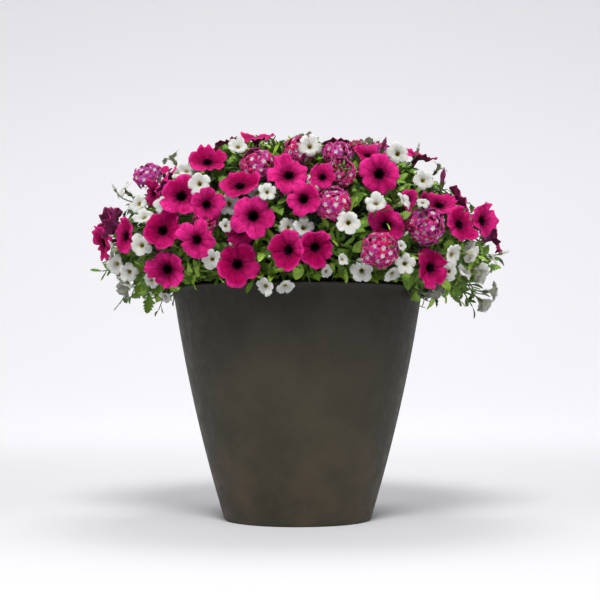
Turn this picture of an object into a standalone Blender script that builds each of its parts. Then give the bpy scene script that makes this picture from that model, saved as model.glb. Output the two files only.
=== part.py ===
"""A tapered round planter filled with petunias, calibrachoas and verbenas.

Metres, +Z up. The origin is the centre of the pot's underside, and the front of the planting faces -Y.
The pot holds the soil, the leafy bush stands in the soil, and each spray of blooms stands on the bush.
"""

import math
import random
from collections import namedtuple

import bmesh
import bpy
import numpy as np
from mathutils import Matrix, Vector
from mathutils.bvhtree import BVHTree

MM = 0.001
SEED = 7

# The gap left between pieces that touch.
FIT_GAP = 0.0003

# The pot: a turned shell whose wall leans out a little less towards the rim.
POT_HEIGHT = 0.2815
FOOT_RADIUS = 0.0888
RIM_RADIUS = 0.1525
FOOT_FLARE = 0.305
FOOT_CHAMFER = 0.002
WALL = 0.007
FLOOR_THICKNESS = 0.009
LIP_RADIUS = 0.0025
POT_SIDES = 32
POT_BANDS = 5
DRAIN_RADIUS = 0.006
DRAIN_CIRCLE = 0.045
DRAIN_COUNT = 4
DRAIN_SIDES = 8
POT_CREASE = math.radians(30)

# The soil, a little below the rim, and the plain holes that the crown stems stand in.
SOIL_TOP = 0.2600
SOIL_CROWN = 0.005
CROWN_STEM_RADIUS = 0.0045
CROWN_STEM_DEPTH = 0.028
CROWN_STEM_RISE = 0.010
CROWN_STEM_SIDES = 6
CROWN_STEMS = [(0.0, 0.0), (0.078, 0.030), (-0.070, 0.042), (0.012, -0.080), (0.030, 0.090), (-0.060, -0.050)]

# The mound that the faces of the blooms lie on.
MOUND_HALF_WIDTH = 0.246
MOUND_HALF_DEPTH = 0.204
MOUND_WAIST = 0.318
MOUND_RISE = 0.149
MOUND_POWER = 2.35
SIDE_DROP = 0.062
FRONT_DROP = 0.040

# The leafy core under the mound. Each ring of its profile is (share of the half width, height over its base).
CORE_HALF_WIDTH = 0.174
CORE_FRONT_DEPTH = 0.134
CORE_BACK_DEPTH = 0.160
CORE_BASE = 0.2875
CORE_PROFILE = [(0.86, 0.0), (0.97, 0.012), (1.0, 0.042), (0.91, 0.078), (0.70, 0.106), (0.40, 0.124)]
CORE_TOP = 0.130
CORE_SIDES = 22
CORE_LUMPS = 0.035

# The front view that the sprays are set out in: level, and centred on the pot's axis.
VIEW_DISTANCE = 1.70
VIEW_HEIGHT = 0.190

# Where the mound is looked for along a sight line, in shares of the way to the pot's axis.
SIGHT_RANGE = (0.84, 1.08)
SIGHT_STEPS = 240
SIGHT_CLEAR = 0.010

# Sizes of a bloom of each kind, from the petal edge to the end of its tube.
Kind = namedtuple("Kind", "width throat_radius throat_depth neck_radius neck_depth length stalk_radius")
KINDS = {
    "petunia": Kind(0.048, 0.0055, 0.0105, 0.0062, 0.0085, 0.032, 0.0014),
    "calibrachoa": Kind(0.0265, 0.0030, 0.0062, 0.0030, 0.0060, 0.017, 0.0011),
    "verbena": Kind(0.044, 0.0, 0.0, 0.0140, 0.0240, 0.034, 0.0014),
}
LOBES = 5
NOTCH = 0.90
PETUNIA_EDGE = 0.0010
PETUNIA_CURL = 0.0016
PETUNIA_FLARE = 0.62
PETUNIA_DISH = 0.0014
CALIBRACHOA_CURL = 0.0008

# A verbena head: a flattened ball of twelve sides, with a star of petals raised on the upper six.
HEAD_DEPTH = 0.62
HEAD_HEART = 0.80
HEAD_TURNS = (0, 0.8, 1.6, 2.4)
HEAD_CORNERS = [(37.38, 0), (79.19, 0), (100.81, 0.5), (142.62, 0.5)]
HEAD_FILL = 0.9
FLORET_TIP = 0.50
FLORET_NOTCH = 0.30
FLORET_RISE = (0.93, 0.98, 1.01)

# One entry for each spray that shows from the front. A bloom is (across, height, yaw, pitch, share of full
# size): where its face is seen in the front view, in millimetres at the pot's axis, and the way it faces, in
# degrees to the right and up.
FRONT_SPRAYS = [
    ("verbena", [(-188, 431, -25, 55, 0.9)]),
    ("verbena", [(-49, 443, 0, 30, 1.0)]),
    ("verbena", [(3, 464, -5, 50, 0.95), (49, 459, 5, 55, 0.9), (75, 464, 10, 75, 0.62)]),
    ("verbena", [(54, 433, 2, 34, 0.9, 8)]),
    ("verbena", [(44, 393, -2, 20, 1.0)]),
    ("verbena", [(161, 360, 6, 2, 1.08)]),
    ("verbena", [(102, 330, 0, 0, 1.0, 10)]),
    ("verbena", [(-116, 367, -5, 25, 0.72)]),
    ("petunia", [(-111, 443, 2, 38, 0.92), (-71, 414, 0, 40, 0.98)]),
    ("petunia", [(-144, 398, -5, 18, 1.0), (-165, 416, -95, 40, 0.8), (-180, 398, -50, -5, 0.72)]),
    ("petunia", [(-245, 336, -62, -12, 0.92), (-216, 346, -48, 5, 0.9), (-232, 363, -105, 25, 0.8)]),
    ("petunia", [(-167, 355, -6, 14, 0.98), (-127, 341, -24, 0, 0.9)]),
    ("petunia", [(-54, 371, 3, 4, 1.0), (-110, 385, 15, 0, 0.8), (-72, 349, -12, -18, 0.75)]),
    ("petunia", [(-163, 303, -18, -14, 0.95)]),
    ("petunia", [(-74, 311, 0, 0, 1.0)]),
    ("petunia", [(-11, 426, -3, 30, 1.0), (6, 392, -16, 6, 0.84)]),
    ("petunia", [(-16, 328, -30, -4, 0.98), (24, 329, 18, -22, 0.92)]),
    ("petunia", [(31, 421, 0, 20, 0.75, -8)]),
    ("petunia", [(101, 423, 0, 2, 1.0), (87, 450, 10, 50, 0.8), (139, 390, 35, -10, 0.5)]),
    ("petunia", [(111, 362, 8, 20, 1.0)]),
    ("petunia", [(176, 389, 12, 42, 0.9), (204, 394, 95, 35, 0.85)]),
    ("petunia", [(204, 361, 34, 8, 0.9), (233, 365, 46, 4, 0.95)]),
    ("petunia", [(167, 306, 26, -4, 0.92)]),
    ("calibrachoa", [(-150, 426, -15, 45, 0.85), (-136, 429, 10, 42, 0.9), (-122, 411, -12, 8, 1.0)]),
    ("calibrachoa", [(-73, 459, 5, 35, 0.95), (-51, 400, -15, 10, 0.85), (-36, 401, 15, 12, 0.85)]),
    ("calibrachoa", [(-198, 387, -35, 20, 0.95), (-190, 371, -20, 40, 0.95), (-164, 385, -4, 18, 1.0)]),
    ("calibrachoa", [(-193, 334, -12, 0, 1.0), (-106, 317, -16, 0, 0.85)]),
    ("calibrachoa", [(-231, 328, -80, 0, 0.85), (-225, 311, -38, -4, 1.0), (-208, 300, -15, -20, 0.9)]),
    ("calibrachoa", [(-215, 276, -120, -30, 0.9), (-181, 289, -30, -30, 0.8), (-163, 269, -30, -50, 0.75)]),
    ("calibrachoa", [(-85, 385, -5, -6, 0.95), (-87, 358, 20, 0, 0.6)]),
    ("calibrachoa", [(16, 458, 8, 14, 1.0), (19, 412, -5, 30, 0.98)]),
    ("calibrachoa", [(124, 448, 2, 6, 1.0), (156, 415, 12, 6, 0.9)]),
    ("calibrachoa", [(133, 390, 50, 25, 0.80), (155, 388, 15, 40, 0.6)]),
    ("calibrachoa", [(63, 362, 0, 0, 1.0), (97, 389, 0, 38, 1.0)]),
    ("calibrachoa", [(8, 356, 6, 4, 0.9), (-13, 358, -18, 20, 0.85)]),
    ("calibrachoa", [(37, 301, 30, -20, 0.62), (57, 317, 30, 10, 0.55), (79, 302, -2, -8, 1.0)]),
    ("calibrachoa", [(118, 297, 30, -40, 0.9), (133, 311, 8, -4, 0.9), (129, 334, 30, 10, 0.5)]),
    ("calibrachoa", [(-41, 282, -26, -26, 0.85), (-14, 281, 20, -50, 0.85)]),
    ("calibrachoa", [(193, 322, 40, -8, 0.95), (215, 325, 125, 5, 0.95), (185, 301, -10, -10, 0.8)]),
    ("calibrachoa", [(228, 298, 120, -10, 1.0), (207, 303, 50, 30, 0.85), (242, 318, 70, 20, 0.5)]),
    ("calibrachoa", [(169, 274, 150, -40, 0.95), (231, 258, 130, -40, 0.95), (244, 278, 95, 5, 1.05)]),
]

# The blooms of the sides, the back and the top are spread evenly by rule: how many there are of each kind,
# how many share a spray, and how far their faces stay from the centres of those already there.
AROUND_LATTICE = 260
AROUND_ORDER = ["petunia", "calibrachoa", "verbena", "calibrachoa", "petunia", "calibrachoa"]
AROUND_MOST = {"petunia": 16, "calibrachoa": 22, "verbena": 6}
AROUND_SPRAY = {"petunia": 4, "calibrachoa": 5, "verbena": 2}
AROUND_ROOM = {"petunia": 0.050, "calibrachoa": 0.036, "verbena": 0.050}
AROUND_FACING_FRONT = -0.22
AROUND_TOP = 0.98
AROUND_LOW = -0.28
AROUND_LEAN = 0.35
AROUND_LIFT = Vector((0, 0, 0.15))
AROUND_SIZE = (0.86, 1.02)

# How blooms keep clear of each other, of the pot and of the core while they are placed.
SETTLE_STEP = 0.002
SETTLE_IN = 0.044
SETTLE_OUT = 0.018
SETTLE_SIZES = (1.0, 0.93, 0.86)
BLOOM_CLEAR = 0.003
PLACE_CLEAR = 0.003
NEIGHBOUR_REACH = 0.115
SAMPLE_STEPS = 5
SAMPLE_TURNS = 16

# Stalks: each ends on a face of the knot, a small eight-faced body whose stem stands on the core.
FORK_HEIGHTS = (0.012, 0.009, 0.017)
KNOT_RADIUS = 0.0024
STEM_RADIUS = 0.0019
STALK_SIDES = 3
STALK_STEPS = 2
STALK_PULLS = (0.42, 0.60, 0.30)
STALK_LEAVE = 0.6
STALK_CLEAR = 0.0006
STALK_BEND = 0.010
KNOT_SIDES = 7
LANDING_TRIES = 240
LANDING_SPREAD = 0.055
LANDING_LOWEST = -0.6

# Leaves: plain ones, and larger ones with a cut edge, given by (share of length, share of half width).
PLAIN_LEAF_EDGE = [(0.46, 1.0)]
CUT_LEAF_EDGE = [(0.30, 0.75), (0.42, 0.42), (0.60, 1.0), (0.72, 0.45)]
LEAF_COUNT = 156
LEAF_LENGTH = (0.026, 0.056)
LEAF_WIDTH = 0.56
CUT_LEAF_COUNT = 32
CUT_LEAF_LENGTH = (0.034, 0.052)
CUT_LEAF_WIDTH = 0.66
LEAF_ARCH = 0.10
LEAF_FOLD = 0.06
LEAF_KEEL = 0.0012
LEAF_RIB_AT = 0.50
LEAF_KEEL_AT = 0.46
LEAF_ROOT = 0.0022
LEAF_CLEAR = 0.0005
LEAF_LIFT = 0.001
LEAF_OFF_CORE = 0.0015
LEAF_REACH = 0.060
LEAF_TRIES = 60
LEAF_DROOP = 0.9
LEAF_SWAY = 0.55
LEAF_LEAST_OUT = 0.45
LEAF_LEAST_UP = 0.15
LEAF_MOST_TWIST = 0.9

# Leafy stems that reach furthest out: (across, depth, height) of the tip in millimetres, the rise of the
# stem's arch, and how many leaves it bears besides the one at its tip.
SPRIGS = [
    ((-228, -30, 404), 18, 4),
    ((-205, -75, 256), 34, 4),
    ((206, -65, 256), 34, 5),
    ((228, 25, 262), 36, 5),
    ((-180, 95, 258), 32, 5),
    ((110, 172, 262), 30, 5),
]
SPRIG_RADIUS = 0.0016
SPRIG_STEPS = 3
SPRIG_LEAF_LENGTH = (0.020, 0.028)
SPRIG_LEAF_ROOT = 0.0009
SPRIG_SUNK = 0.006
SPRIG_LIFT = 0.020
SPRIG_TRIES = 8
SPRIG_SWAY = 0.3

GOLDEN_ANGLE = math.pi * (3 - math.sqrt(5))

Bloom = namedtuple("Bloom", "kind centre facing size spin")
Solid = namedtuple("Solid", "points faces")


# Layout: where each bloom is and which way it faces.


def mound_level(point):
    """Under 1 inside the mound that the bloom faces lie on, over 1 outside it."""
    x, y, z = point
    flat = math.hypot(x, y)
    side = (x / flat) ** 2 if flat > 0 else 0.0
    drop = FRONT_DROP + (SIDE_DROP - FRONT_DROP) * side
    reach = math.hypot(x / MOUND_HALF_WIDTH, y / MOUND_HALF_DEPTH)
    lift = (z - MOUND_WAIST) / (MOUND_RISE if z > MOUND_WAIST else drop)
    return (reach**MOUND_POWER + abs(lift) ** MOUND_POWER) ** (1 / MOUND_POWER)


def mound_normal(point, step=0.001):
    slope = [
        mound_level(point + Vector(axis) * step) - mound_level(point - Vector(axis) * step)
        for axis in ((1, 0, 0), (0, 1, 0), (0, 0, 1))
    ]
    return Vector(slope).normalized()


def mound_point(direction):
    """The point of the mound in this direction from the middle of its waist."""
    centre = Vector((0, 0, MOUND_WAIST))
    near, far = 0.0, 0.6
    for _ in range(30):
        middle = (near + far) / 2
        if mound_level(centre + direction * middle) < 1:
            near = middle
        else:
            far = middle
    return centre + direction * near


def sight_point(across, height):
    """Where the sight line through this place of the front view meets or passes the mound, and its way."""
    eye = Vector((0, -VIEW_DISTANCE, VIEW_HEIGHT))
    ray = Vector((across * MM, VIEW_DISTANCE, height * MM - VIEW_HEIGHT))
    first, last = SIGHT_RANGE
    points = [eye + ray * share for share in np.linspace(first, last, SIGHT_STEPS)]
    points = [point for point, clear in zip(points, outside_pot(np.array(points), SIGHT_CLEAR)) if clear]
    levels = [mound_level(point) for point in points]
    inside = [point for point, level in zip(points, levels) if level <= 1]
    return (inside[0] if inside else points[levels.index(min(levels))]), ray.normalized()


def facing_of(yaw, pitch):
    yaw, pitch = math.radians(yaw), math.radians(pitch)
    return Vector((math.sin(yaw) * math.cos(pitch), -math.cos(yaw) * math.cos(pitch), math.sin(pitch)))


def side_axes(normal):
    """Two unit vectors square to the normal and to each other, the second as upright as can be."""
    upright = Vector((0, 0, 1)) if abs(normal.z) < 0.95 else Vector((0, 1, 0))
    side = upright.cross(normal).normalized()
    return side, normal.cross(side).normalized()


def bloom_profile(bloom):
    """The bloom's outline from its axis, as (radius, height) pairs from the petal edge to the tube's end."""
    kind = KINDS[bloom.kind]
    edge = kind.width / 2 * bloom.size
    if bloom.kind == "verbena":
        low = edge * HEAD_DEPTH
        outline = [(edge * math.sin(turn), low * (math.cos(turn) - 1)) for turn in HEAD_TURNS]
        return outline + [(0.0, -kind.length * bloom.size)]
    neck = (kind.neck_radius * bloom.size, -kind.neck_depth * bloom.size)
    return [(edge, 0.0), neck, (0.0, -kind.length * bloom.size)]


def bloom_samples(bloom):
    """Points all over the bloom's outline."""
    profile = bloom_profile(bloom)
    side, up = side_axes(bloom.facing)
    points = []
    for start, end in zip(profile, profile[1:]):
        for radius, height in np.linspace(start, end, SAMPLE_STEPS):
            for turn in range(SAMPLE_TURNS):
                angle = turn * math.tau / SAMPLE_TURNS
                spoke = side * math.cos(angle) + up * math.sin(angle)
                points.append(bloom.centre + spoke * radius + bloom.facing * height)
    return np.array(points)


def distance_to_bloom(points, bloom):
    """Distance of each point from the bloom, taken as its outline turned about its axis."""
    away = points - np.array(bloom.centre)
    height = away @ np.array(bloom.facing)
    radius = np.sqrt(np.maximum((away**2).sum(1) - height**2, 0))
    spots = np.stack([radius, height], 1)
    profile = np.array(bloom_profile(bloom))
    best = np.full(len(points), 1.0)
    for start, end in zip(profile, profile[1:]):
        along = end - start
        share = np.clip((spots - start) @ along / (along @ along), 0, 1)
        best = np.minimum(best, np.linalg.norm(spots - start - share[:, None] * along, axis=1))
    if bloom.kind == "verbena":
        edge = KINDS["verbena"].width / 2 * bloom.size
        deep = edge * HEAD_DEPTH
        best = np.where(np.hypot(radius / edge, (height + deep) / deep) < HEAD_FILL, 0.0, best)
    return best


def pot_radius(height):
    """Outer radius of the pot at this height: the wall's lean lessens evenly towards the rim."""
    bend = (FOOT_RADIUS + FOOT_FLARE * POT_HEIGHT - RIM_RADIUS) / POT_HEIGHT**2
    return FOOT_RADIUS + FOOT_FLARE * height - bend * height**2


def outside_pot(points, margin):
    """True where a point is clear of the pot's wall and of what lies inside the pot."""
    height = np.clip(points[:, 2], 0, POT_HEIGHT)
    flat = np.hypot(points[:, 0], points[:, 1])
    return (points[:, 2] > POT_HEIGHT + margin) | (flat > pot_radius(height) + margin)


def outside_core(points, margin):
    """True where a point is clear of the leafy core."""
    shares, heights = zip(*CORE_PROFILE)
    height = points[:, 2] - CORE_BASE
    share = np.interp(height, heights + (CORE_TOP,), shares + (0.0,)) * (1 + CORE_LUMPS)
    depth = np.where(points[:, 1] < 0, CORE_FRONT_DEPTH, CORE_BACK_DEPTH)
    reach = np.hypot(points[:, 0] / CORE_HALF_WIDTH, points[:, 1] / depth)
    return (height < -margin) | (height > CORE_TOP + margin) | (reach > share + margin / CORE_FRONT_DEPTH)


def settle(bloom, inward, placed):
    """Moves a bloom along its sight line until it is clear of all that is there, or gives None."""
    near = [other for other in placed if (other.centre - bloom.centre).length < NEIGHBOUR_REACH]
    steps = [0.0]
    for count in range(1, round(SETTLE_IN / SETTLE_STEP) + 1):
        steps.append(count * SETTLE_STEP)
        if count * SETTLE_STEP <= SETTLE_OUT:
            steps.append(-count * SETTLE_STEP)
    for share, step in [(share, step) for share in SETTLE_SIZES for step in steps]:
        moved = bloom._replace(centre=bloom.centre + inward * step, size=bloom.size * share)
        points = bloom_samples(moved)
        if not (outside_pot(points, PLACE_CLEAR) & outside_core(points, PLACE_CLEAR)).all():
            continue
        if all(distance_to_bloom(points, other).min() > BLOOM_CLEAR for other in near):
            return moved
    return None


def front_sprays(draw):
    """Sprays placed along the sight lines of the front view, and the list of all their blooms."""
    sprays, placed = [], []
    for kind, blooms in FRONT_SPRAYS:
        kept = []
        for across, height, yaw, pitch, size, *lift in blooms:
            centre, ray = sight_point(across, height)
            centre -= ray * sum(lift) * MM
            bloom = Bloom(kind, centre, facing_of(yaw, pitch), size, draw.uniform(0, math.tau))
            found = settle(bloom, ray, placed)
            if found:
                kept.append(found)
                placed.append(found)
        if kept:
            sprays.append((kind, kept))
    return sprays, placed


def grouped(blooms, most):
    """Groups of neighbouring blooms, each gathered round the one that is furthest round to the right."""
    left = list(blooms)
    groups = []
    while left:
        left.sort(key=lambda bloom: math.atan2(bloom.centre.y, bloom.centre.x))
        first = left[0].centre.copy()
        left.sort(key=lambda bloom: (bloom.centre - first).length)
        groups.append(left[:most])
        left = left[most:]
    return groups


def around_sprays(draw, placed):
    """Sprays over the sides, the back and the top, where the front view shows nothing."""
    blooms = {kind: [] for kind in KINDS}
    turn = 0
    lattice = list(range(AROUND_LATTICE))
    draw.shuffle(lattice)
    for index in lattice:
        up = AROUND_TOP - (AROUND_TOP - AROUND_LOW) * (index + 0.5) / AROUND_LATTICE
        flat = math.sqrt(1 - up * up)
        angle = index * GOLDEN_ANGLE
        spot = mound_point(Vector((flat * math.cos(angle), flat * math.sin(angle), up)))
        normal = mound_normal(spot)
        if normal.y < AROUND_FACING_FRONT:
            continue
        kind = AROUND_ORDER[turn % len(AROUND_ORDER)]
        if len(blooms[kind]) == AROUND_MOST[kind]:
            turn += 1
            continue
        if any((other.centre - spot).length < AROUND_ROOM[kind] for other in placed):
            continue
        lean = jitter(draw, AROUND_LEAN) + AROUND_LIFT
        facing = (normal + lean).normalized()
        bloom = Bloom(kind, spot, facing, draw.uniform(*AROUND_SIZE), draw.uniform(0, math.tau))
        found = settle(bloom, -normal, placed)
        if found:
            blooms[kind].append(found)
            placed.append(found)
            turn += 1
    return [(kind, group) for kind in KINDS for group in grouped(blooms[kind], AROUND_SPRAY[kind])]


# Shapes: closed solids as points and faces.


def bloom_matrix(bloom):
    """The bloom's own axes, +Z the way it faces, at the centre of its face."""
    side, up = side_axes(bloom.facing)
    turn = Matrix.Rotation(bloom.spin, 4, "Z")
    axes = Matrix((side, up, bloom.facing)).transposed().to_4x4()
    return Matrix.Translation(bloom.centre) @ axes @ turn


def ring(count, radius, height, turn=0.0):
    angles = [(step + turn) * math.tau / count for step in range(count)]
    return [(radius * math.cos(angle), radius * math.sin(angle), height) for angle in angles]


def strip(first, second, count):
    """Two triangles for each step between two rings of the same count, the second lying inside the first."""
    faces = []
    for step in range(count):
        after = (step + 1) % count
        faces.append((first + step, first + after, second + step))
        faces.append((first + after, second + after, second + step))
    return faces


def halving_strip(first, second, count):
    """Triangles from a ring of twice the count to a ring of count points opposite its even ones."""
    faces = []
    for step in range(count):
        here, middle = first + 2 * step, first + 2 * step + 1
        after = first + (2 * step + 2) % (2 * count)
        faces.append((here, middle, second + step))
        faces.append((middle, second + (step + 1) % count, second + step))
        faces.append((middle, after, second + (step + 1) % count))
    return faces


def fan(first, tip, count):
    return [(first + step, first + (step + 1) % count, tip) for step in range(count)]


def flipped(faces):
    return [tuple(reversed(face)) for face in faces]


def lobed_ring(radius, height, curl):
    """Two points for each of the five lobes: its tip, curled back a little, and the notch beside it."""
    points = []
    for step in range(2 * LOBES):
        angle = step * math.pi / LOBES
        reach = radius * (1.0 if step % 2 == 0 else NOTCH)
        drop = curl if step % 2 == 0 else 0.0
        points.append((reach * math.cos(angle), reach * math.sin(angle), height - drop))
    return points


def petunia_shell():
    """A ruffled trumpet: five lobes round a flared face and a deep throat, open behind at its neck."""
    kind = KINDS["petunia"]
    edge = kind.width / 2
    rim, flare, throat, tip, back, neck = shell_starts((2, 2, 1, 0, 2, 1))
    points = lobed_ring(edge, PETUNIA_EDGE / 2, PETUNIA_CURL)
    points += ring(2 * LOBES, edge * PETUNIA_FLARE, -PETUNIA_DISH)
    points += ring(LOBES, kind.throat_radius, -kind.throat_depth / 2)
    points += [(0, 0, -kind.throat_depth)]
    points += lobed_ring(edge, -PETUNIA_EDGE / 2, PETUNIA_CURL)
    points += ring(LOBES, kind.neck_radius, -kind.neck_depth)
    faces = strip(rim, flare, 2 * LOBES) + halving_strip(flare, throat, LOBES) + fan(throat, tip, LOBES)
    faces += flipped(strip(rim, back, 2 * LOBES)) + flipped(halving_strip(back, neck, LOBES))
    return points, faces, neck


def calibrachoa_shell():
    """A small trumpet with five lobes, its petals thinning to their edge, open behind at its neck."""
    kind = KINDS["calibrachoa"]
    rim, throat, tip, neck = shell_starts((2, 1, 0, 1))
    points = lobed_ring(kind.width / 2, 0.0, CALIBRACHOA_CURL)
    points += ring(LOBES, kind.throat_radius, -kind.throat_depth / 3)
    points += [(0, 0, -kind.throat_depth)]
    points += ring(LOBES, kind.neck_radius, -kind.neck_depth)
    faces = halving_strip(rim, throat, LOBES) + fan(throat, tip, LOBES)
    faces += flipped(halving_strip(rim, neck, LOBES))
    return points, faces, neck


def shell_starts(rings):
    """The index each ring of a shell starts at, from how many times five points it has, or one for a tip."""
    starts = [0]
    for times in rings[:-1]:
        starts.append(starts[-1] + (times * LOBES or 1))
    return starts


def verbena_shell():
    """A flattened ball of twelve five-sided faces with a raised star on the upper six, open behind."""
    radius = KINDS["verbena"].width / 2
    points = []
    for tilt, turn in HEAD_CORNERS:
        tilt = math.radians(tilt)
        heart = radius * HEAD_HEART
        points += ring(LOBES, heart * math.sin(tilt), heart * math.cos(tilt), turn)
    neck = 3 * LOBES
    sides = [tuple(range(LOBES))]
    for step in range(LOBES):
        after = (step + 1) % LOBES
        sides.append((step, LOBES + step, 2 * LOBES + step, LOBES + after, after))
    faces = []
    for side in sides:
        corners = [Vector(points[corner]) for corner in side]
        out = sum(corners, Vector()).normalized()
        tips = [(corner - out * corner.dot(out)).normalized() for corner in corners]
        first = len(points)
        for tip, after in zip(tips, tips[1:] + tips[:1]):
            points.append(out * radius * FLORET_RISE[0] + tip * radius * FLORET_TIP)
            points.append(out * radius * FLORET_RISE[1] + (tip + after).normalized() * radius * FLORET_NOTCH)
        points.append(out * radius * FLORET_RISE[2])
        faces += fan(first, first + 2 * LOBES, 2 * LOBES)
        for step in range(LOBES):
            tip, notch = first + 2 * step, first + 2 * step + 1
            after = first + (2 * step + 2) % (2 * LOBES)
            here, over = side[step], side[(step + 1) % LOBES]
            faces += [(here, notch, tip), (here, over, notch), (over, after, notch)]
    for step in range(LOBES):
        after = (step + 1) % LOBES
        faces.append((neck + step, neck + after, 2 * LOBES + after, LOBES + after, 2 * LOBES + step))
    flat = Matrix.Diagonal((1, 1, HEAD_DEPTH))
    points = [flat @ Vector(point) - Vector((0, 0, radius * HEAD_DEPTH)) for point in points]
    return points, faces, neck


SHELLS = {"petunia": petunia_shell, "calibrachoa": calibrachoa_shell, "verbena": verbena_shell}


def zipped(outer, inner):
    """Triangles between two rings of different counts, each given as rising (turn, corner) pairs."""
    outer = outer + [(outer[0][0] + math.tau, outer[0][1]), (math.inf, None)]
    inner = inner + [(inner[0][0] + math.tau, inner[0][1]), (math.inf, None)]
    faces = []
    i = j = 0
    while i < len(outer) - 2 or j < len(inner) - 2:
        here, there = outer[i][1], inner[j][1]
        if outer[i + 1][0] <= inner[j + 1][0]:
            i += 1
            faces.append((here, outer[i][1], there))
        else:
            j += 1
            faces.append((here, inner[j][1], there))
    return faces


def bloom_points(bloom):
    """The bloom's open shell in place, with the indexes of its neck."""
    points, faces, neck = SHELLS[bloom.kind]()
    matrix = bloom_matrix(bloom)
    return [matrix @ (Vector(point) * bloom.size) for point in points], faces, neck


def neck_faces(bloom, neck, first):
    """From the five points of the neck down to the three of the stalk's first ring."""
    shift = 0.5 if bloom.kind == "verbena" else 0.0
    neck_ring = [((step + shift) * math.tau / LOBES, neck + step) for step in range(LOBES)]
    stalk_ring = [(step * math.tau / STALK_SIDES, first + step) for step in range(STALK_SIDES)]
    return flipped(zipped(neck_ring, stalk_ring))


def stalk_rings(bloom, path):
    across = bloom_matrix(bloom).to_3x3() @ Vector((1, 0, 0))
    radii = [KINDS[bloom.kind].stalk_radius] * len(path)
    return carried_rings(path, radii, STALK_SIDES, across, -bloom.facing)


def bare_bloom(bloom):
    """The bloom with its tube closed where the stalk begins."""
    points, faces, neck = bloom_points(bloom)
    first = len(points)
    points = points + stalk_rings(bloom, [bloom_end(bloom)])
    faces = faces + neck_faces(bloom, neck, first)
    return Solid(points, faces + [(first + 2, first + 1, first)])


def spray_solid(blooms, paths, knot, sides):
    """The blooms of a spray with their stalks, each let into its own side of the knot, as one solid."""
    points, faces = list(knot.points), []
    for bloom, path, side in zip(blooms, paths, sides):
        shell, shell_faces, neck = bloom_points(bloom)
        start = len(points)
        points += shell
        first = len(points)
        points += stalk_rings(bloom, path[:-1])
        faces += [tuple(start + corner for corner in face) for face in shell_faces]
        faces += neck_faces(bloom, start + neck, first)
        for index in range(len(path) - 2):
            faces += flipped(strip(first + 3 * index, first + 3 * index + 3, 3))
        last = first + 3 * (len(path) - 2)
        faces += nearest_strip(points, (last, last + 1, last + 2), knot.faces[side])
    taken = set(sides)
    faces += [face for number, face in enumerate(knot.faces) if number not in taken]
    return Solid(points, faces)


def nearest_strip(points, ring_of, face):
    """Joins the last ring of a stalk to a side of the knot, corner to nearest corner."""

    def spread(choice):
        return sum((points[a] - points[b]).length for a, b in zip(ring_of, choice))

    other = min([face[turn:] + face[:turn] for turn in range(3)], key=spread)
    faces = []
    for step in range(3):
        after = (step + 1) % 3
        faces.append((ring_of[after], ring_of[step], other[step]))
        faces.append((other[after], ring_of[after], other[step]))
    return faces


def knot_solid(fork, landing, away):
    """Two crossed triangles with six sides between them, the lower one drawn down into a stem."""
    across, other = side_axes(away)
    half = KNOT_RADIUS / math.sqrt(2)
    points = []
    for rise, turn in ((-half, 0.0), (half, 0.5)):
        for x, y, _ in ring(3, KNOT_RADIUS, 0, turn):
            points.append(fork + across * x + other * y + away * rise)
    for x, y, _ in ring(3, STEM_RADIUS, 0):
        points.append(landing + across * x + other * y + away * FIT_GAP)
    sides = [(3, 4, 5)]
    for step in range(3):
        after = (step + 1) % 3
        sides += [(step, after, 3 + step), (after, 3 + after, 3 + step)]
    return Solid(points, sides + strip(6, 0, 3) + [(8, 7, 6)])


def bloom_end(bloom):
    """The end of the bloom's tube, where its stalk begins."""
    return bloom.centre - bloom.facing * KINDS[bloom.kind].length * bloom.size


def carried_rings(path, radii, sides, across, along):
    """Rings of points round a path, turned with it but not twisted."""
    points = []
    for index, (point, radius) in enumerate(zip(path, radii)):
        if index:
            before, after = path[index - 1], path[min(index + 1, len(path) - 1)]
            along = (after - before).normalized()
        across = (across - along * across.dot(along)).normalized()
        other = -along.cross(across)
        for step in range(sides):
            angle = step * math.tau / sides
            points.append(point + (across * math.cos(angle) + other * math.sin(angle)) * radius)
    return points


def tube_solid(path, radius, sides):
    """A closed tube along a path of points."""
    along = (path[1] - path[0]).normalized()
    points = carried_rings(path, [radius] * len(path), sides, side_axes(along)[0], along)
    faces = []
    for index in range(len(path) - 1):
        faces += flipped(strip(index * sides, (index + 1) * sides, sides))
    last = (len(path) - 1) * sides
    faces.append(tuple(range(sides)))
    faces.append(tuple(range(last + sides - 1, last - 1, -1)))
    return Solid(points, faces)


def curve_points(start, start_pull, end_pull, end, steps):
    """Points along a cubic curve from start to end."""
    path = []
    for step in range(steps + 1):
        t = step / steps
        point = start * (1 - t) ** 3 + start_pull * (3 * t * (1 - t) ** 2)
        path.append(point + end_pull * (3 * t * t * (1 - t)) + end * t**3)
    return path


def leaf_points(root, along, upper, length, cut, grow=0.0):
    """A leaf's root triangle, the edge round it, its rib on top and its keel below."""
    side = upper.cross(along).normalized()
    over = along.cross(side)
    half = length * (CUT_LEAF_WIDTH if cut else LEAF_WIDTH) / 2 + grow
    arch, fold = length * LEAF_ARCH, length * LEAF_FOLD

    def place(share, across, rise):
        return root + along * (length * share) + side * across + over * rise

    outline = CUT_LEAF_EDGE if cut else PLAIN_LEAF_EDGE
    left = []
    for share, reach in outline:
        left.append((share, half * reach, arch * math.sin(math.pi * share) + fold * reach))
    right = [(share, -across, rise) for share, across, rise in reversed(left)]
    tip = place(1.0 + grow / length, 0, 0)
    edge = [place(*spot) for spot in left] + [tip] + [place(*spot) for spot in right]
    return edge, place(LEAF_RIB_AT, 0, arch + grow), place(LEAF_KEEL_AT, 0, arch - LEAF_KEEL - grow)


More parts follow.
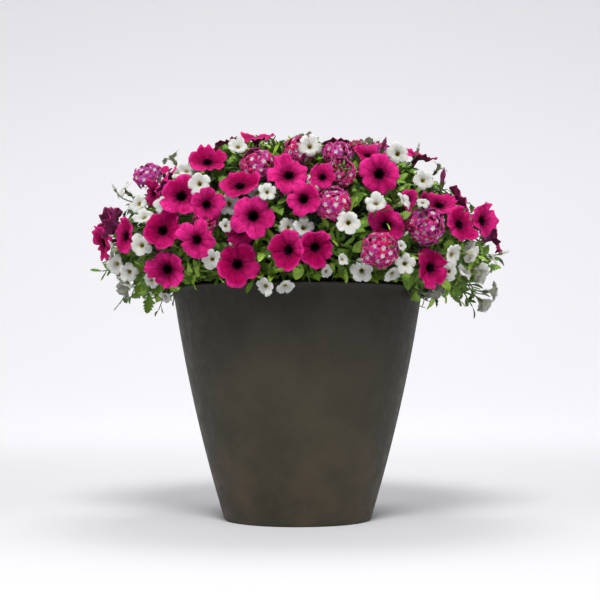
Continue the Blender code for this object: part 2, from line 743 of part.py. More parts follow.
def leaf_faces(left, right, low, edge, rib, keel):
    """Faces over and under a leaf, from the three root points and the edge."""
    around = [left] + edge + [right]
    faces = [(here, rib, after) for here, after in zip(around, around[1:] + around[:1])]
    under = around + [low]
    faces += [(after, keel, here) for here, after in zip(under, under[1:] + under[:1])]
    return faces


def turned_solid(profile, sides):
    """A profile of (radius, height) turned about Z, from a point on the axis to a point on the axis."""
    points = [Vector((0, 0, profile[0][1]))]
    for radius, height in profile[1:-1]:
        points += [Vector(point) for point in ring(sides, radius, height)]
    points.append(Vector((0, 0, profile[-1][1])))
    faces = flipped([(1 + step, 1 + (step + 1) % sides, 0) for step in range(sides)])
    rings = len(profile) - 2
    for index in range(rings - 1):
        for step in range(sides):
            here, after = 1 + index * sides + step, 1 + index * sides + (step + 1) % sides
            faces.append((here, after, after + sides, here + sides))
    last = 1 + (rings - 1) * sides
    faces += [(last + step, last + (step + 1) % sides, len(points) - 1) for step in range(sides)]
    return Solid(points, faces)


def pot_profile():
    """Up the outside, over the rounded lip and down the inside to the floor."""
    profile = [(0, 0), (FOOT_RADIUS - FOOT_CHAMFER, 0), (pot_radius(FOOT_CHAMFER), FOOT_CHAMFER)]
    top = POT_HEIGHT - LIP_RADIUS
    for height in [top * band / POT_BANDS for band in range(1, POT_BANDS + 1)]:
        profile.append((pot_radius(height), height))
    bend = LIP_RADIUS * (1 - math.sqrt(0.5))
    profile += [(RIM_RADIUS - bend, POT_HEIGHT - bend), (RIM_RADIUS - LIP_RADIUS, POT_HEIGHT)]
    inner = RIM_RADIUS - WALL
    profile += [(inner + LIP_RADIUS, POT_HEIGHT), (inner + bend, POT_HEIGHT - bend)]
    profile += [(pot_radius(height) - WALL, height) for height in inner_heights()]
    return profile + [(0, FLOOR_THICKNESS)]


def inner_heights():
    """Where the pot's inner wall bends: at the lip, at the soil and below, down to the floor."""
    middle = (SOIL_TOP + FLOOR_THICKNESS) / 2
    return [POT_HEIGHT - LIP_RADIUS, SOIL_TOP, middle, FLOOR_THICKNESS]


def soil_profile():
    """The soil fills the pot to a little below the rim, its facets alongside the pot's."""
    floor = FLOOR_THICKNESS + FIT_GAP
    walls = [(pot_radius(height) - WALL - FIT_GAP, height) for height in reversed(inner_heights()[1:3])]
    profile = [(0, floor), (pot_radius(FLOOR_THICKNESS) - WALL - FIT_GAP, floor)] + walls
    return profile + [(walls[-1][0] * 0.5, SOIL_TOP + SOIL_CROWN * 0.7), (0, SOIL_TOP + SOIL_CROWN)]


def core_solid(draw):
    """The lumpy heart of the bush."""
    points = []
    for index, (share, height) in enumerate(CORE_PROFILE):
        for x, y, _ in ring(CORE_SIDES, share, 0, 0.5 * (index % 2)):
            lump = 1 + draw.uniform(-CORE_LUMPS, CORE_LUMPS) if index else 1.0
            depth = CORE_FRONT_DEPTH if y < 0 else CORE_BACK_DEPTH
            points.append(Vector((x * CORE_HALF_WIDTH * lump, y * depth * lump, CORE_BASE + height)))
    points.append(Vector((0, 0, CORE_BASE + CORE_TOP)))
    faces = [tuple(range(CORE_SIDES - 1, -1, -1))]
    rings = len(CORE_PROFILE)
    for index in range(rings - 1):
        shift = index % 2
        for step in range(CORE_SIDES):
            here, after = index * CORE_SIDES + step, index * CORE_SIDES + (step + 1) % CORE_SIDES
            over = (index + 1) * CORE_SIDES + (step + shift) % CORE_SIDES
            before = (index + 1) * CORE_SIDES + (step + shift - 1) % CORE_SIDES
            faces.append((here, after, over))
            faces.append((here, over, before))
    last = (rings - 1) * CORE_SIDES
    faces += [(last + step, last + (step + 1) % CORE_SIDES, len(points) - 1) for step in range(CORE_SIDES)]
    return Solid(points, faces)


# Clearance: trees of the solids that are already there.


def triangles(solid):
    return [
        (face[0], face[index], face[index + 1]) for face in solid.faces for index in range(1, len(face) - 1)
    ]


def tree_of(solids):
    points, faces = [], []
    for solid in solids:
        start = len(points)
        points += solid.points
        faces += [tuple(start + corner for corner in face) for face in triangles(solid)]
    return BVHTree.FromPolygons(points, faces)


def is_sound(solid, trees):
    """True if the solid meets neither what the trees hold nor itself."""
    own = tree_of([solid])
    corners = triangles(solid)
    crossed = any(not set(corners[i]) & set(corners[j]) for i, j in own.overlap(own))
    return not crossed and not any(tree.overlap(own) for tree in trees)


def is_clear(solid, trees, gap=STALK_CLEAR):
    """True if the solid neither meets what the trees hold nor comes nearer to it than the gap."""
    own = tree_of([solid])
    for tree in trees:
        if tree.overlap(own) or any(tree.find_nearest(point, gap)[0] for point in solid.points):
            return False
    return True


# Assembly.


def middle_and_out(corners):
    """The middle of a triangle and the way out of it."""
    a, b, c = corners
    return (a + b + c) / 3, (b - a).cross(c - a).normalized()


def stalk_path(bloom, foot, out, share, bend):
    """From the end of the bloom's tube round to its side of the knot."""
    start = bloom_end(bloom)
    pull = (start - foot).length * share
    leave = start - bloom.facing * pull * STALK_LEAVE + bend
    return curve_points(start, leave, foot + out * pull + bend, foot, STALK_STEPS)


def stalk_test(bloom, path):
    """The stalk a little thicker than it is, without its last part beside the knot."""
    last = path[-1] + (path[-2] - path[-1]) * 0.25
    return tube_solid(path[:-1] + [last], KINDS[bloom.kind].stalk_radius + STALK_CLEAR, STALK_SIDES)


def spray_on(blooms, trees, knot, share, others, draw):
    """The spray on this knot, or None if a stalk can't reach its side clear of all else."""
    paths, sides, stalks = [], [], []
    for number, bloom in enumerate(blooms):
        found = None
        free = [side for side in range(KNOT_SIDES) if side not in sides]
        aims = {side: middle_and_out([knot.points[corner] for corner in knot.faces[side]]) for side in free}
        free.sort(key=lambda side: -(bloom_end(bloom) - aims[side][0]).normalized().dot(aims[side][1]))
        siblings = trees[:number] + trees[number + 1:] + [tree_of([stalk]) for stalk in stalks]
        for side in free[:3]:
            bend = jitter(draw, STALK_BEND)
            path = stalk_path(bloom, *aims[side], share, bend)
            test = stalk_test(bloom, path)
            if is_clear(test, others + siblings):
                found = (path, side, test)
                break
        if not found:
            return None
        paths.append(found[0])
        sides.append(found[1])
        stalks.append(found[2])
    return spray_solid(blooms, paths, knot, sides)


def build_spray(blooms, draw, core_tree, others):
    """A spray whose knot stands on the core below its blooms, where all its stalks find a way."""
    trees = [tree_of([bare_bloom(bloom)]) for bloom in blooms]
    middle = sum([bloom_end(bloom) for bloom in blooms], Vector()) / len(blooms)
    for attempt in range(LANDING_TRIES):
        spread = LANDING_SPREAD * attempt / LANDING_TRIES
        aim = middle + jitter(draw, spread)
        landing, away, _, _ = core_tree.find_nearest(aim)
        if away.z < LANDING_LOWEST:
            continue
        fork = landing + away * FORK_HEIGHTS[attempt % len(FORK_HEIGHTS)]
        knot = knot_solid(fork, landing, away)
        if not is_clear(knot, [others] + trees) or core_tree.overlap(tree_of([knot])):
            continue
        for share in STALK_PULLS:
            spray = spray_on(blooms, trees, knot, share, [others, core_tree], draw)
            if spray and is_sound(spray, [others, core_tree]):
                return spray
    return None


def area_of(corners):
    a, b, c = corners
    return (b - a).cross(c - a).length / 2


def jitter(draw, most):
    """A small random vector."""
    return Vector([draw.uniform(-most, most) for _ in range(3)])


def grow_leaf(draw, corners, cut, bush_tree, obstacles):
    """A leaf on one face of the core, with its clearance tree, or None where there is no room."""
    middle, out = middle_and_out(corners)
    shortest, longest = CUT_LEAF_LENGTH if cut else LEAF_LENGTH
    for attempt in range(LEAF_TRIES):
        length = longest - (longest - shortest) * attempt / LEAF_TRIES
        droop = Vector((0, 0, -LEAF_DROOP * (1 - abs(out.z))))
        along = (out + droop + jitter(draw, LEAF_SWAY)).normalized()
        upper = (Vector((0, 0, 1)) + out * LEAF_SWAY + jitter(draw, LEAF_SWAY)).normalized()
        if along.dot(out) < LEAF_LEAST_OUT or abs(upper.dot(along)) > LEAF_MOST_TWIST:
            continue
        side = upper.cross(along)
        across = (side - out * side.dot(out)).normalized()
        down = across.cross(out)
        if down.dot(upper) > -LEAF_LEAST_UP:
            continue
        high = middle - down * LEAF_ROOT / 2
        root = [high + across * LEAF_ROOT, high - across * LEAF_ROOT, middle + down * LEAF_ROOT]
        edge, rib, keel = leaf_points(middle, along, upper, length, cut, LEAF_CLEAR)
        count = len(edge)
        lifted = [point + out * LEAF_LIFT for point in root]
        faces = leaf_faces(0, 1, 2, list(range(3, 3 + count)), 3 + count, 4 + count)
        tree = tree_of([Solid(lifted + edge + [rib, keel], faces)])
        if not outside_core(np.array(edge + [rib, keel]), LEAF_OFF_CORE).all() or bush_tree.overlap(tree):
            continue
        if any(other.overlap(tree) for other in obstacles):
            continue
        if is_clear(Solid(edge + [rib, keel], []), obstacles, LEAF_CLEAR):
            edge, rib, keel = leaf_points(middle, along, upper, length, cut)
            return Solid(root + edge + [rib, keel], faces), tree
    return None


def leafy_core(draw, core, bush, obstacles):
    """The bush with leaves drawn out of the core's faces, the largest first, each clear of all else."""
    points, faces = list(bush.points), []
    ends = {tuple(round(part, 6) for part in point) for point in core.points}
    bush_tree = tree_of([bush])
    plan = sorted(triangles(bush), key=lambda face: -area_of([bush.points[corner] for corner in face]))
    grown, cuts = [], CUT_LEAF_COUNT
    for face in plan:
        corners = [bush.points[corner] for corner in face]
        middle, out = middle_and_out(corners)
        whole = all(tuple(round(part, 6) for part in corner) in ends for corner in corners)
        leaf = None
        if whole and middle.z > CORE_BASE + FIT_GAP and len(grown) < LEAF_COUNT:
            near = [tree for tree, other in grown if (other - middle).length < LEAF_REACH]
            leaf = grow_leaf(draw, corners, cuts > 0, bush_tree, obstacles + near)
        if leaf:
            solid, tree = leaf
            here = corners + solid.points[:3]
            join = joined_ring(here, (0, 1, 2), (3, 4, 5), middle, out)
            if all(middle_and_out([here[corner] for corner in side])[1].dot(out) > 0 for side in join):
                first = len(points)
                places = face + (first, first + 1, first + 2)
                points += solid.points
                faces += [tuple(places[corner] for corner in side) for side in join]
                faces += [tuple(first + corner for corner in side) for side in solid.faces]
                grown.append((tree, middle))
                cuts -= 1
                continue
        faces.append(face)
    return Solid(points, faces)


def stem_leaf(root, along, upper, length):
    """A plain leaf closed at its root, for a stem."""
    side = upper.cross(along).normalized()
    over = along.cross(side)
    edge, rib, keel = leaf_points(root, along, upper, length, False)
    low = root - over * SPRIG_LEAF_ROOT
    points = [root + side * SPRIG_LEAF_ROOT, root - side * SPRIG_LEAF_ROOT, low] + edge + [rib, keel]
    faces = leaf_faces(0, 1, 2, list(range(3, 3 + len(edge))), len(points) - 2, len(points) - 1)
    return Solid(points, faces + [(0, 2, 1)])


def sprig_path(tip, rise, draw, core_tree, trees):
    """A clear way for a sprig's stem, arching from the core to its tip, or None."""
    for attempt in range(LANDING_TRIES):
        spread = LANDING_SPREAD * attempt / LANDING_TRIES
        root, out, _, _ = core_tree.find_nearest(tip + jitter(draw, spread))
        middle = (root + tip) / 2 + Vector((0, 0, rise * MM))
        path = curve_points(root - out * SPRIG_SUNK, root + out * SPRIG_LIFT, middle, tip, SPRIG_STEPS)
        test = tube_solid([root + out * SPRIG_RADIUS] + path[1:], SPRIG_RADIUS + STALK_CLEAR, STALK_SIDES)
        if out.z > LANDING_LOWEST and is_clear(test, trees):
            return path
    return None


def sprig_solids(tip, rise, leaves, draw, core_tree, trees):
    """The stem of a sprig and its leaves, set to the left and right in turn along its outer part."""
    path = sprig_path(Vector(tip) * MM, rise, draw, core_tree, trees)
    if not path:
        return []
    solids = [tube_solid(path, SPRIG_RADIUS, STALK_SIDES)]
    start, end = path[-2:]
    along = (end - start).normalized()
    across, over = side_axes(along)
    for number in range(leaves):
        place = start.lerp(end, (number + 0.5) / leaves)
        way = across * (1 if number % 2 else -1) + along * 0.5
        for _ in range(SPRIG_TRIES):
            length = draw.uniform(*SPRIG_LEAF_LENGTH)
            leaf = stem_leaf(place, (way + jitter(draw, SPRIG_SWAY)).normalized(), over, length)
            if is_clear(leaf, trees) and not core_tree.overlap(tree_of([leaf])):
                solids.append(leaf)
                break
    solids.append(stem_leaf(start.lerp(end, 0.95), along, over, SPRIG_LEAF_LENGTH[0]))
    return solids


def joined_ring(points, outer, inner, middle, normal):
    """Triangles between a face's corners and a smaller ring inside it."""
    across, up = side_axes(normal)

    def turns(corners, start):
        """The corners with their turns about the middle, rising from the start."""
        found = []
        for corner in corners:
            away = points[corner] - middle
            turn = math.atan2(away.dot(up), away.dot(across))
            found.append(((turn - start) % math.tau + start, corner))
        return sorted(found)

    outer_turns = turns(outer, -math.pi)
    inner_turns = turns(inner, outer_turns[0][0] - math.pi / len(inner))
    return zipped(outer_turns, inner_turns)


# Blender objects.


def clear_scene():
    for item in list(bpy.data.objects):
        bpy.data.objects.remove(item)


def material(name, colour, roughness, metallic=0.0):
    finish = bpy.data.materials.new(name)
    finish.use_nodes = True
    shader = finish.node_tree.nodes["Principled BSDF"]
    shader.inputs["Base Color"].default_value = (*colour, 1.0)
    shader.inputs["Roughness"].default_value = roughness
    shader.inputs["Metallic"].default_value = metallic
    return finish


def solid_object(name, solid, collection=None):
    mesh = bpy.data.meshes.new(name)
    mesh.from_pydata(solid.points, [], solid.faces)
    mesh.validate()
    item = bpy.data.objects.new(name, mesh)
    (collection or bpy.context.scene.collection).objects.link(item)
    return item


def apply_modifiers(item):
    graph = bpy.context.evaluated_depsgraph_get()
    mesh = bpy.data.meshes.new_from_object(item.evaluated_get(graph))
    item.modifiers.clear()
    item.data = mesh


def boolean(item, operation, solids):
    """Joins these solids to the object, or cuts them out of it, by one Boolean on their collection."""
    pieces = bpy.data.collections.new(item.name + "_pieces")
    bpy.context.scene.collection.children.link(pieces)
    for solid in solids:
        solid_object(item.name + "_piece", solid, pieces)
    tool = item.modifiers.new("join", "BOOLEAN")
    tool.operation = operation
    tool.operand_type = "COLLECTION"
    tool.collection = pieces
    tool.solver = "EXACT"
    bpy.context.view_layer.update()
    apply_modifiers(item)
    for piece in list(pieces.objects):
        bpy.data.objects.remove(piece)
    bpy.data.collections.remove(pieces)


def largest_body(item):
    """Drops the loose scraps and the sealed hollows that a join can leave."""
    shape = bmesh.new()
    shape.from_mesh(item.data)
    bmesh.ops.triangulate(shape, faces=shape.faces)
    left = set(shape.verts)
    bodies = []
    while left:
        body, edge = set(), {left.pop()}
        while edge:
            body |= edge
            edge = {other.other_vert(vert) for vert in edge for other in vert.link_edges} - body
        left -= body
        bodies.append(body)
    bodies.sort(key=len, reverse=True)
    spare = [vert for body in bodies[1:] for vert in body]
    bmesh.ops.delete(shape, geom=spare, context="VERTS")
    shape.to_mesh(item.data)
    shape.free()


def finished(name, solid, finish):
    item = solid_object(name, solid)
    item.data.materials.append(finish)
    return item


def build_pot(finish):
    pot = solid_object("pot", turned_solid(pot_profile(), POT_SIDES))
    holes = []
    for index in range(DRAIN_COUNT):
        angle = (index + 0.5) * math.tau / DRAIN_COUNT
        foot = Vector((DRAIN_CIRCLE * math.cos(angle), DRAIN_CIRCLE * math.sin(angle), -MM))
        top = foot + Vector((0, 0, FLOOR_THICKNESS + 2 * MM))
        holes.append(tube_solid([foot, top], DRAIN_RADIUS, DRAIN_SIDES))
    boolean(pot, "DIFFERENCE", holes)
    pot.data.materials.append(finish)
    pot.data.shade_smooth()
    pot.data.set_sharp_from_angle(angle=POT_CREASE)


def crown_stem(place, grow=0.0):
    """A stem from the core down into the soil."""
    x, y = place
    foot = Vector((x, y, SOIL_TOP - CROWN_STEM_DEPTH - grow))
    top = Vector((x, y, CORE_BASE + CROWN_STEM_RISE))
    return tube_solid([foot, top], CROWN_STEM_RADIUS + grow, CROWN_STEM_SIDES)


def with_stems(core, sprigs):
    """The core joined to the stems that go down into the soil and to the sprigs."""
    item = solid_object("core", core)
    boolean(item, "UNION", [crown_stem(place) for place in CROWN_STEMS] + sprigs)
    largest_body(item)
    points = [vert.co.copy() for vert in item.data.vertices]
    faces = [tuple(face.vertices) for face in item.data.polygons]
    bpy.data.objects.remove(item)
    return Solid(points, faces)


def build_soil(finish):
    soil = solid_object("soil", turned_solid(soil_profile(), POT_SIDES))
    boolean(soil, "DIFFERENCE", [crown_stem(place, FIT_GAP) for place in CROWN_STEMS])
    soil.data.materials.append(finish)


def main():
    clear_scene()
    draw = random.Random(SEED)
    finishes = {
        "pot": material("pot", (0.065, 0.058, 0.042), 0.55),
        "soil": material("soil", (0.035, 0.022, 0.014), 0.95),
        "foliage": material("foliage", (0.085, 0.190, 0.030), 0.5),
        "petunia": material("petunia", (0.62, 0.004, 0.150), 0.5),
        "calibrachoa": material("calibrachoa", (0.86, 0.86, 0.80), 0.5),
        "verbena": material("verbena", (0.55, 0.020, 0.200), 0.5),
    }
    build_pot(finishes["pot"])
    build_soil(finishes["soil"])
    front, placed = front_sprays(draw)
    sprays = front + around_sprays(draw, placed)
    core = core_solid(draw)
    core_tree = tree_of([core])
    pot = turned_solid(pot_profile(), POT_SIDES)
    built, counts = [], {}
    bare = {id(bloom): bare_bloom(bloom) for _, blooms in sprays for bloom in blooms}
    for kind, blooms in sprays:
        for bloom in blooms:
            bare.pop(id(bloom))
        spray = build_spray(blooms, draw, core_tree, tree_of([pot] + built + list(bare.values())))
        if spray:
            counts[kind] = counts.get(kind, 0) + 1
            finished(f"{kind}_spray_{counts[kind]:02d}", spray, finishes[kind])
            built.append(spray)
    sprigs = []
    for tip, rise, pairs in SPRIGS:
        sprigs += sprig_solids(tip, rise, pairs, draw, core_tree, [tree_of([pot] + built + sprigs)])
    soil = turned_solid(soil_profile(), POT_SIDES)
    bush = leafy_core(draw, core, with_stems(core, sprigs), [tree_of([pot, soil] + built), tree_of(sprigs)])
    finished("foliage", bush, finishes["foliage"])


if __name__ == "__main__":
    main()
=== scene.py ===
"""The look of a tapered round planter filled with petunias, calibrachoas and verbenas, built on its solids.

Metres, +Z up. The origin is the centre of the pot's underside, and the front of the planting faces -Y.
"""

import math
import random
from collections import namedtuple

import bmesh
import bpy
import numpy as np
from mathutils import Matrix, Vector


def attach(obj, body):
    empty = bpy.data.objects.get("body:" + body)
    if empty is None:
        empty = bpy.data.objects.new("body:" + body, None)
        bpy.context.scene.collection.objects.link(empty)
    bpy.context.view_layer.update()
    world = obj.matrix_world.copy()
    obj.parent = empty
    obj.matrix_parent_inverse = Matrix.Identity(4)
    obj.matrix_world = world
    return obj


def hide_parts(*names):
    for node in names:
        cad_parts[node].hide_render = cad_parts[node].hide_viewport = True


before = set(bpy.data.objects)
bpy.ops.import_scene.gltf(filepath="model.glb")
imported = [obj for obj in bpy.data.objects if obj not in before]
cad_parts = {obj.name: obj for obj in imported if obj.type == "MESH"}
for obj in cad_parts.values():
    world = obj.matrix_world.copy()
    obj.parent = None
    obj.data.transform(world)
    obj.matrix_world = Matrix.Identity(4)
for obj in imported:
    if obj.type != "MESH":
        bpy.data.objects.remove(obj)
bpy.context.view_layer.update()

MM = 0.001
SEED = 7

# The pot and the soil, as in the solids.
POT_HEIGHT = 0.2815
FOOT_RADIUS = 0.0888
RIM_RADIUS = 0.1525
FOOT_FLARE = 0.305
FOOT_CHAMFER = 0.002
WALL = 0.007
FLOOR_THICKNESS = 0.009
LIP_RADIUS = 0.0025
DRAIN_RADIUS = 0.006
DRAIN_CIRCLE = 0.045
DRAIN_COUNT = 4
DRAIN_SIDES = 32
DRAIN_OVER = 0.002
LIP_TURNS = (10, 90, 170)
LIP_RINGS = 7
FOOT_TURNS = (-90, -10)
FOOT_RINGS = 6
OUTER_RINGS = 40
INNER_RINGS = 30
POT_SIDES = 144
SHARP_ANGLE = math.radians(40)
SOIL_TOP = 0.2600
SOIL_CROWN = 0.005
SOIL_GAP = 0.0005
SOIL_SIDES = 72
SOIL_RINGS = 28
SOIL_WALL_RINGS = 12
SOIL_RIPPLES = 28
SOIL_RATES = (90, 900)
SOIL_LUMP = 0.0011
SOIL_CRUMBS = 220
CRUMB_SIZES = (0.0012, 0.0040)
CRUMB_PROFILE = [(0.02, -0.9), (0.75, -0.6), (1.0, 0.05), (0.7, 0.65), (0.02, 0.9)]
CRUMB_SIDES = 7
CRUMB_REACH = 0.97
CRUMB_FLATNESS = 0.7
CRUMB_STRETCH = (0.7, 1.3)
CRUMB_ROUGHNESS = 0.2
CRUMB_LIFT = 0.8
WELD_REACH = 0.00003
NOTHING = 0.00001

# The mound that the faces of the blooms lie on.
MOUND_HALF_WIDTH = 0.246
MOUND_HALF_DEPTH = 0.204
MOUND_WAIST = 0.318
MOUND_RISE = 0.149
MOUND_POWER = 2.35
SIDE_DROP = 0.062
FRONT_DROP = 0.040

# The leafy core under the mound.
CORE_HALF_WIDTH = 0.174
CORE_FRONT_DEPTH = 0.134
CORE_BACK_DEPTH = 0.160
CORE_BASE = 0.2875
CORE_PROFILE = [(0.86, 0.0), (0.97, 0.012), (1.0, 0.042), (0.91, 0.078), (0.70, 0.106), (0.40, 0.124)]
CORE_TOP = 0.130
CORE_LUMPS = 0.035
CORE_HEART = Vector((0, 0, CORE_BASE + CORE_TOP * 0.35))
CORE_SHRINK = 0.97
HEART_SIDES = 96
HEART_RINGS = 40
HEART_RIPPLES = 40
HEART_RATES = (60, 420)
HEART_LUMP = 0.0006
HEART_IN = 0.003
CROWN_STEMS = [(0.0, 0.0), (0.078, 0.030), (-0.070, 0.042), (0.012, -0.080), (0.030, 0.090), (-0.060, -0.050)]
CROWN_LINE = [(1, SOIL_TOP - 0.02), (1, SOIL_TOP + 0.01), (1.05, CORE_BASE), (1.1, CORE_BASE + 0.02)]
CROWN_RADIUS = 0.0035

# The front view that the sprays are set out in: level, and centred on the pot's axis.
VIEW_DISTANCE = 1.70
VIEW_HEIGHT = 0.190
SIGHT_RANGE = (0.84, 1.08)
SIGHT_STEPS = 240
SIGHT_CLEAR = 0.010

# Sizes of a bloom of each kind, from the petal edge to the end of its tube.
Kind = namedtuple("Kind", "width neck_radius neck_depth length")
KINDS = {
    "petunia": Kind(width=0.048, neck_radius=0.0062, neck_depth=0.0085, length=0.032),
    "calibrachoa": Kind(width=0.0265, neck_radius=0.0030, neck_depth=0.0060, length=0.017),
    "verbena": Kind(width=0.044, neck_radius=0.0140, neck_depth=0.0240, length=0.034),
}
LOBES = 5
HEAD_DEPTH = 0.62
HEAD_TURNS = (0, 0.8, 1.6, 2.4)
HEAD_FILL = 0.9

# One entry for each spray that shows from the front. A bloom is (across, height, yaw, pitch, share of full
# size): where its face is seen in the front view, in millimetres at the pot's axis, and the way it faces, in
# degrees to the right and up.
FRONT_SPRAYS = [
    ("verbena", [(-188, 431, -25, 55, 0.9)]),
    ("verbena", [(-49, 443, 0, 30, 1.0)]),
    ("verbena", [(3, 464, -5, 50, 0.95), (49, 459, 5, 55, 0.9), (75, 464, 10, 75, 0.62)]),
    ("verbena", [(54, 433, 2, 34, 0.9, 8)]),
    ("verbena", [(44, 393, -2, 20, 1.0)]),
    ("verbena", [(161, 360, 6, 2, 1.08)]),
    ("verbena", [(102, 330, 0, 0, 1.0, 10)]),
    ("verbena", [(-116, 367, -5, 25, 0.72)]),
    ("petunia", [(-111, 443, 2, 38, 0.92), (-71, 414, 0, 40, 0.98)]),
    ("petunia", [(-144, 398, -5, 18, 1.0), (-165, 416, -95, 40, 0.8), (-180, 398, -50, -5, 0.72)]),
    ("petunia", [(-245, 336, -62, -12, 0.92), (-216, 346, -48, 5, 0.9), (-232, 363, -105, 25, 0.8)]),
    ("petunia", [(-167, 355, -6, 14, 0.98), (-127, 341, -24, 0, 0.9)]),
    ("petunia", [(-54, 371, 3, 4, 1.0), (-110, 385, 15, 0, 0.8), (-72, 349, -12, -18, 0.75)]),
    ("petunia", [(-163, 303, -18, -14, 0.95)]),
    ("petunia", [(-74, 311, 0, 0, 1.0)]),
    ("petunia", [(-11, 426, -3, 30, 1.0), (6, 392, -16, 6, 0.84)]),
    ("petunia", [(-16, 328, -30, -4, 0.98), (24, 329, 18, -22, 0.92)]),
    ("petunia", [(31, 421, 0, 20, 0.75, -8)]),
    ("petunia", [(101, 423, 0, 2, 1.0), (87, 450, 10, 50, 0.8), (139, 390, 35, -10, 0.5)]),
    ("petunia", [(111, 362, 8, 20, 1.0)]),
    ("petunia", [(176, 389, 12, 42, 0.9), (204, 394, 95, 35, 0.85)]),
    ("petunia", [(204, 361, 34, 8, 0.9), (233, 365, 46, 4, 0.95)]),
    ("petunia", [(167, 306, 26, -4, 0.92)]),
    ("calibrachoa", [(-150, 426, -15, 45, 0.85), (-136, 429, 10, 42, 0.9), (-122, 411, -12, 8, 1.0)]),
    ("calibrachoa", [(-73, 459, 5, 35, 0.95), (-51, 400, -15, 10, 0.85), (-36, 401, 15, 12, 0.85)]),
    ("calibrachoa", [(-198, 387, -35, 20, 0.95), (-190, 371, -20, 40, 0.95), (-164, 385, -4, 18, 1.0)]),
    ("calibrachoa", [(-193, 334, -12, 0, 1.0), (-106, 317, -16, 0, 0.85)]),
    ("calibrachoa", [(-231, 328, -80, 0, 0.85), (-225, 311, -38, -4, 1.0), (-208, 300, -15, -20, 0.9)]),
    ("calibrachoa", [(-215, 276, -120, -30, 0.9), (-181, 289, -30, -30, 0.8), (-163, 269, -30, -50, 0.75)]),
    ("calibrachoa", [(-85, 385, -5, -6, 0.95), (-87, 358, 20, 0, 0.6)]),
    ("calibrachoa", [(16, 458, 8, 14, 1.0), (19, 412, -5, 30, 0.98)]),
    ("calibrachoa", [(124, 448, 2, 6, 1.0), (156, 415, 12, 6, 0.9)]),
    ("calibrachoa", [(133, 390, 50, 25, 0.80), (155, 388, 15, 40, 0.6)]),
    ("calibrachoa", [(63, 362, 0, 0, 1.0), (97, 389, 0, 38, 1.0)]),
    ("calibrachoa", [(8, 356, 6, 4, 0.9), (-13, 358, -18, 20, 0.85)]),
    ("calibrachoa", [(37, 301, 30, -20, 0.62), (57, 317, 30, 10, 0.55), (79, 302, -2, -8, 1.0)]),
    ("calibrachoa", [(118, 297, 30, -40, 0.9), (133, 311, 8, -4, 0.9), (129, 334, 30, 10, 0.5)]),
    ("calibrachoa", [(-41, 282, -26, -26, 0.85), (-14, 281, 20, -50, 0.85)]),
    ("calibrachoa", [(193, 322, 40, -8, 0.95), (215, 325, 125, 5, 0.95), (185, 301, -10, -10, 0.8)]),
    ("calibrachoa", [(228, 298, 120, -10, 1.0), (207, 303, 50, 30, 0.85), (242, 318, 70, 20, 0.5)]),
    ("calibrachoa", [(169, 274, 150, -40, 0.95), (231, 258, 130, -40, 0.95), (244, 278, 95, 5, 1.05)]),
]

# The blooms of the sides, the back and the top are spread evenly by rule.
AROUND_LATTICE = 260
AROUND_ORDER = ["petunia", "calibrachoa", "verbena", "calibrachoa", "petunia", "calibrachoa"]
AROUND_MOST = {"petunia": 16, "calibrachoa": 22, "verbena": 6}
AROUND_SPRAY = {"petunia": 4, "calibrachoa": 5, "verbena": 2}
AROUND_ROOM = {"petunia": 0.050, "calibrachoa": 0.036, "verbena": 0.050}
AROUND_FACING_FRONT = -0.22
AROUND_TOP = 0.98
AROUND_LOW = -0.28
AROUND_LEAN = 0.35
AROUND_LIFT = Vector((0, 0, 0.15))
AROUND_SIZE = (0.86, 1.02)

# How blooms keep clear of each other, of the pot and of the core while they are placed.
SETTLE_STEP = 0.002
SETTLE_IN = 0.044
SETTLE_OUT = 0.018
SETTLE_SIZES = (1.0, 0.93, 0.86)
BLOOM_CLEAR = 0.003
PLACE_CLEAR = 0.003
NEIGHBOUR_REACH = 0.115
SAMPLE_STEPS = 5
SAMPLE_TURNS = 16
GOLDEN_ANGLE = math.pi * (3 - math.sqrt(5))

Bloom = namedtuple("Bloom", "kind centre facing size spin")

# Open petals. The profile runs from the tube's end to the petal edge, as (radius, height) in millimetres at
# full size. Thickness and sepal are in metres, and the other values are shares of the petal edge's radius.
Flower = namedtuple(
    "Flower", "profile rows columns notch uneven warp ruffle curl twist crease thickness sepal"
)
FLOWERS = {
    "petunia": Flower(
        profile=[
            (0.1, -27), (1.8, -26.8), (2.4, -18), (3.4, -11.5), (5.6, -7.0), (9.5, -4.6), (15.5, -2.6),
            (21.0, -0.9), (24.0, -0.6),
        ],
        rows=15, columns=60, notch=0.20, uneven=0.11, warp=0.150, ruffle=0.112, curl=0.42, twist=0.11,
        crease=0.080, thickness=0.00030, sepal=0.013,
    ),
    "calibrachoa": Flower(
        profile=[
            (0.1, -15.5), (1.1, -15.3), (1.5, -10.5), (2.4, -5.5), (4.8, -2.6), (8.5, -1.0), (11.5, -0.4),
            (13.25, -0.9),
        ],
        rows=9, columns=40, notch=0.24, uneven=0.10, warp=0.15, ruffle=0.065, curl=0.42, twist=0.15,
        crease=0.060, thickness=0.00028, sepal=0.0075,
    ),
}
TUBE_END = 0.3
FACE_DEPTHS = (0.6, 1.6)
NOTCH_BROAD = 0.35
NOTCH_WIDTH = 0.20
RIB_WIDTH = 0.13
VALLEY_WIDTH = 0.16
BLOOM_TONES = (-0.1, 1.1)
LOBE_TONES_AND_SHADE = (-0.15, 0.15)

# How many ripples of each sort go round a flower, and how high they are where no field above says it.
BROAD_WAVES = (1, 2, 3)
RUFFLE_WAVES = (5, 7, 9, 12)
CRINKLE_WAVES = (14, 18)
RAGGED_WAVES = (11, 14, 19)
SWIRL_WAVES = (2, 3, 5)
FLORET_WAVES = (2, 5, 7, 10)
DRIFT = 0.03
CRINKLE = 0.8
RAGGED = 0.028
SWIRL = 0.07
FLORET_RUFFLE = 0.10

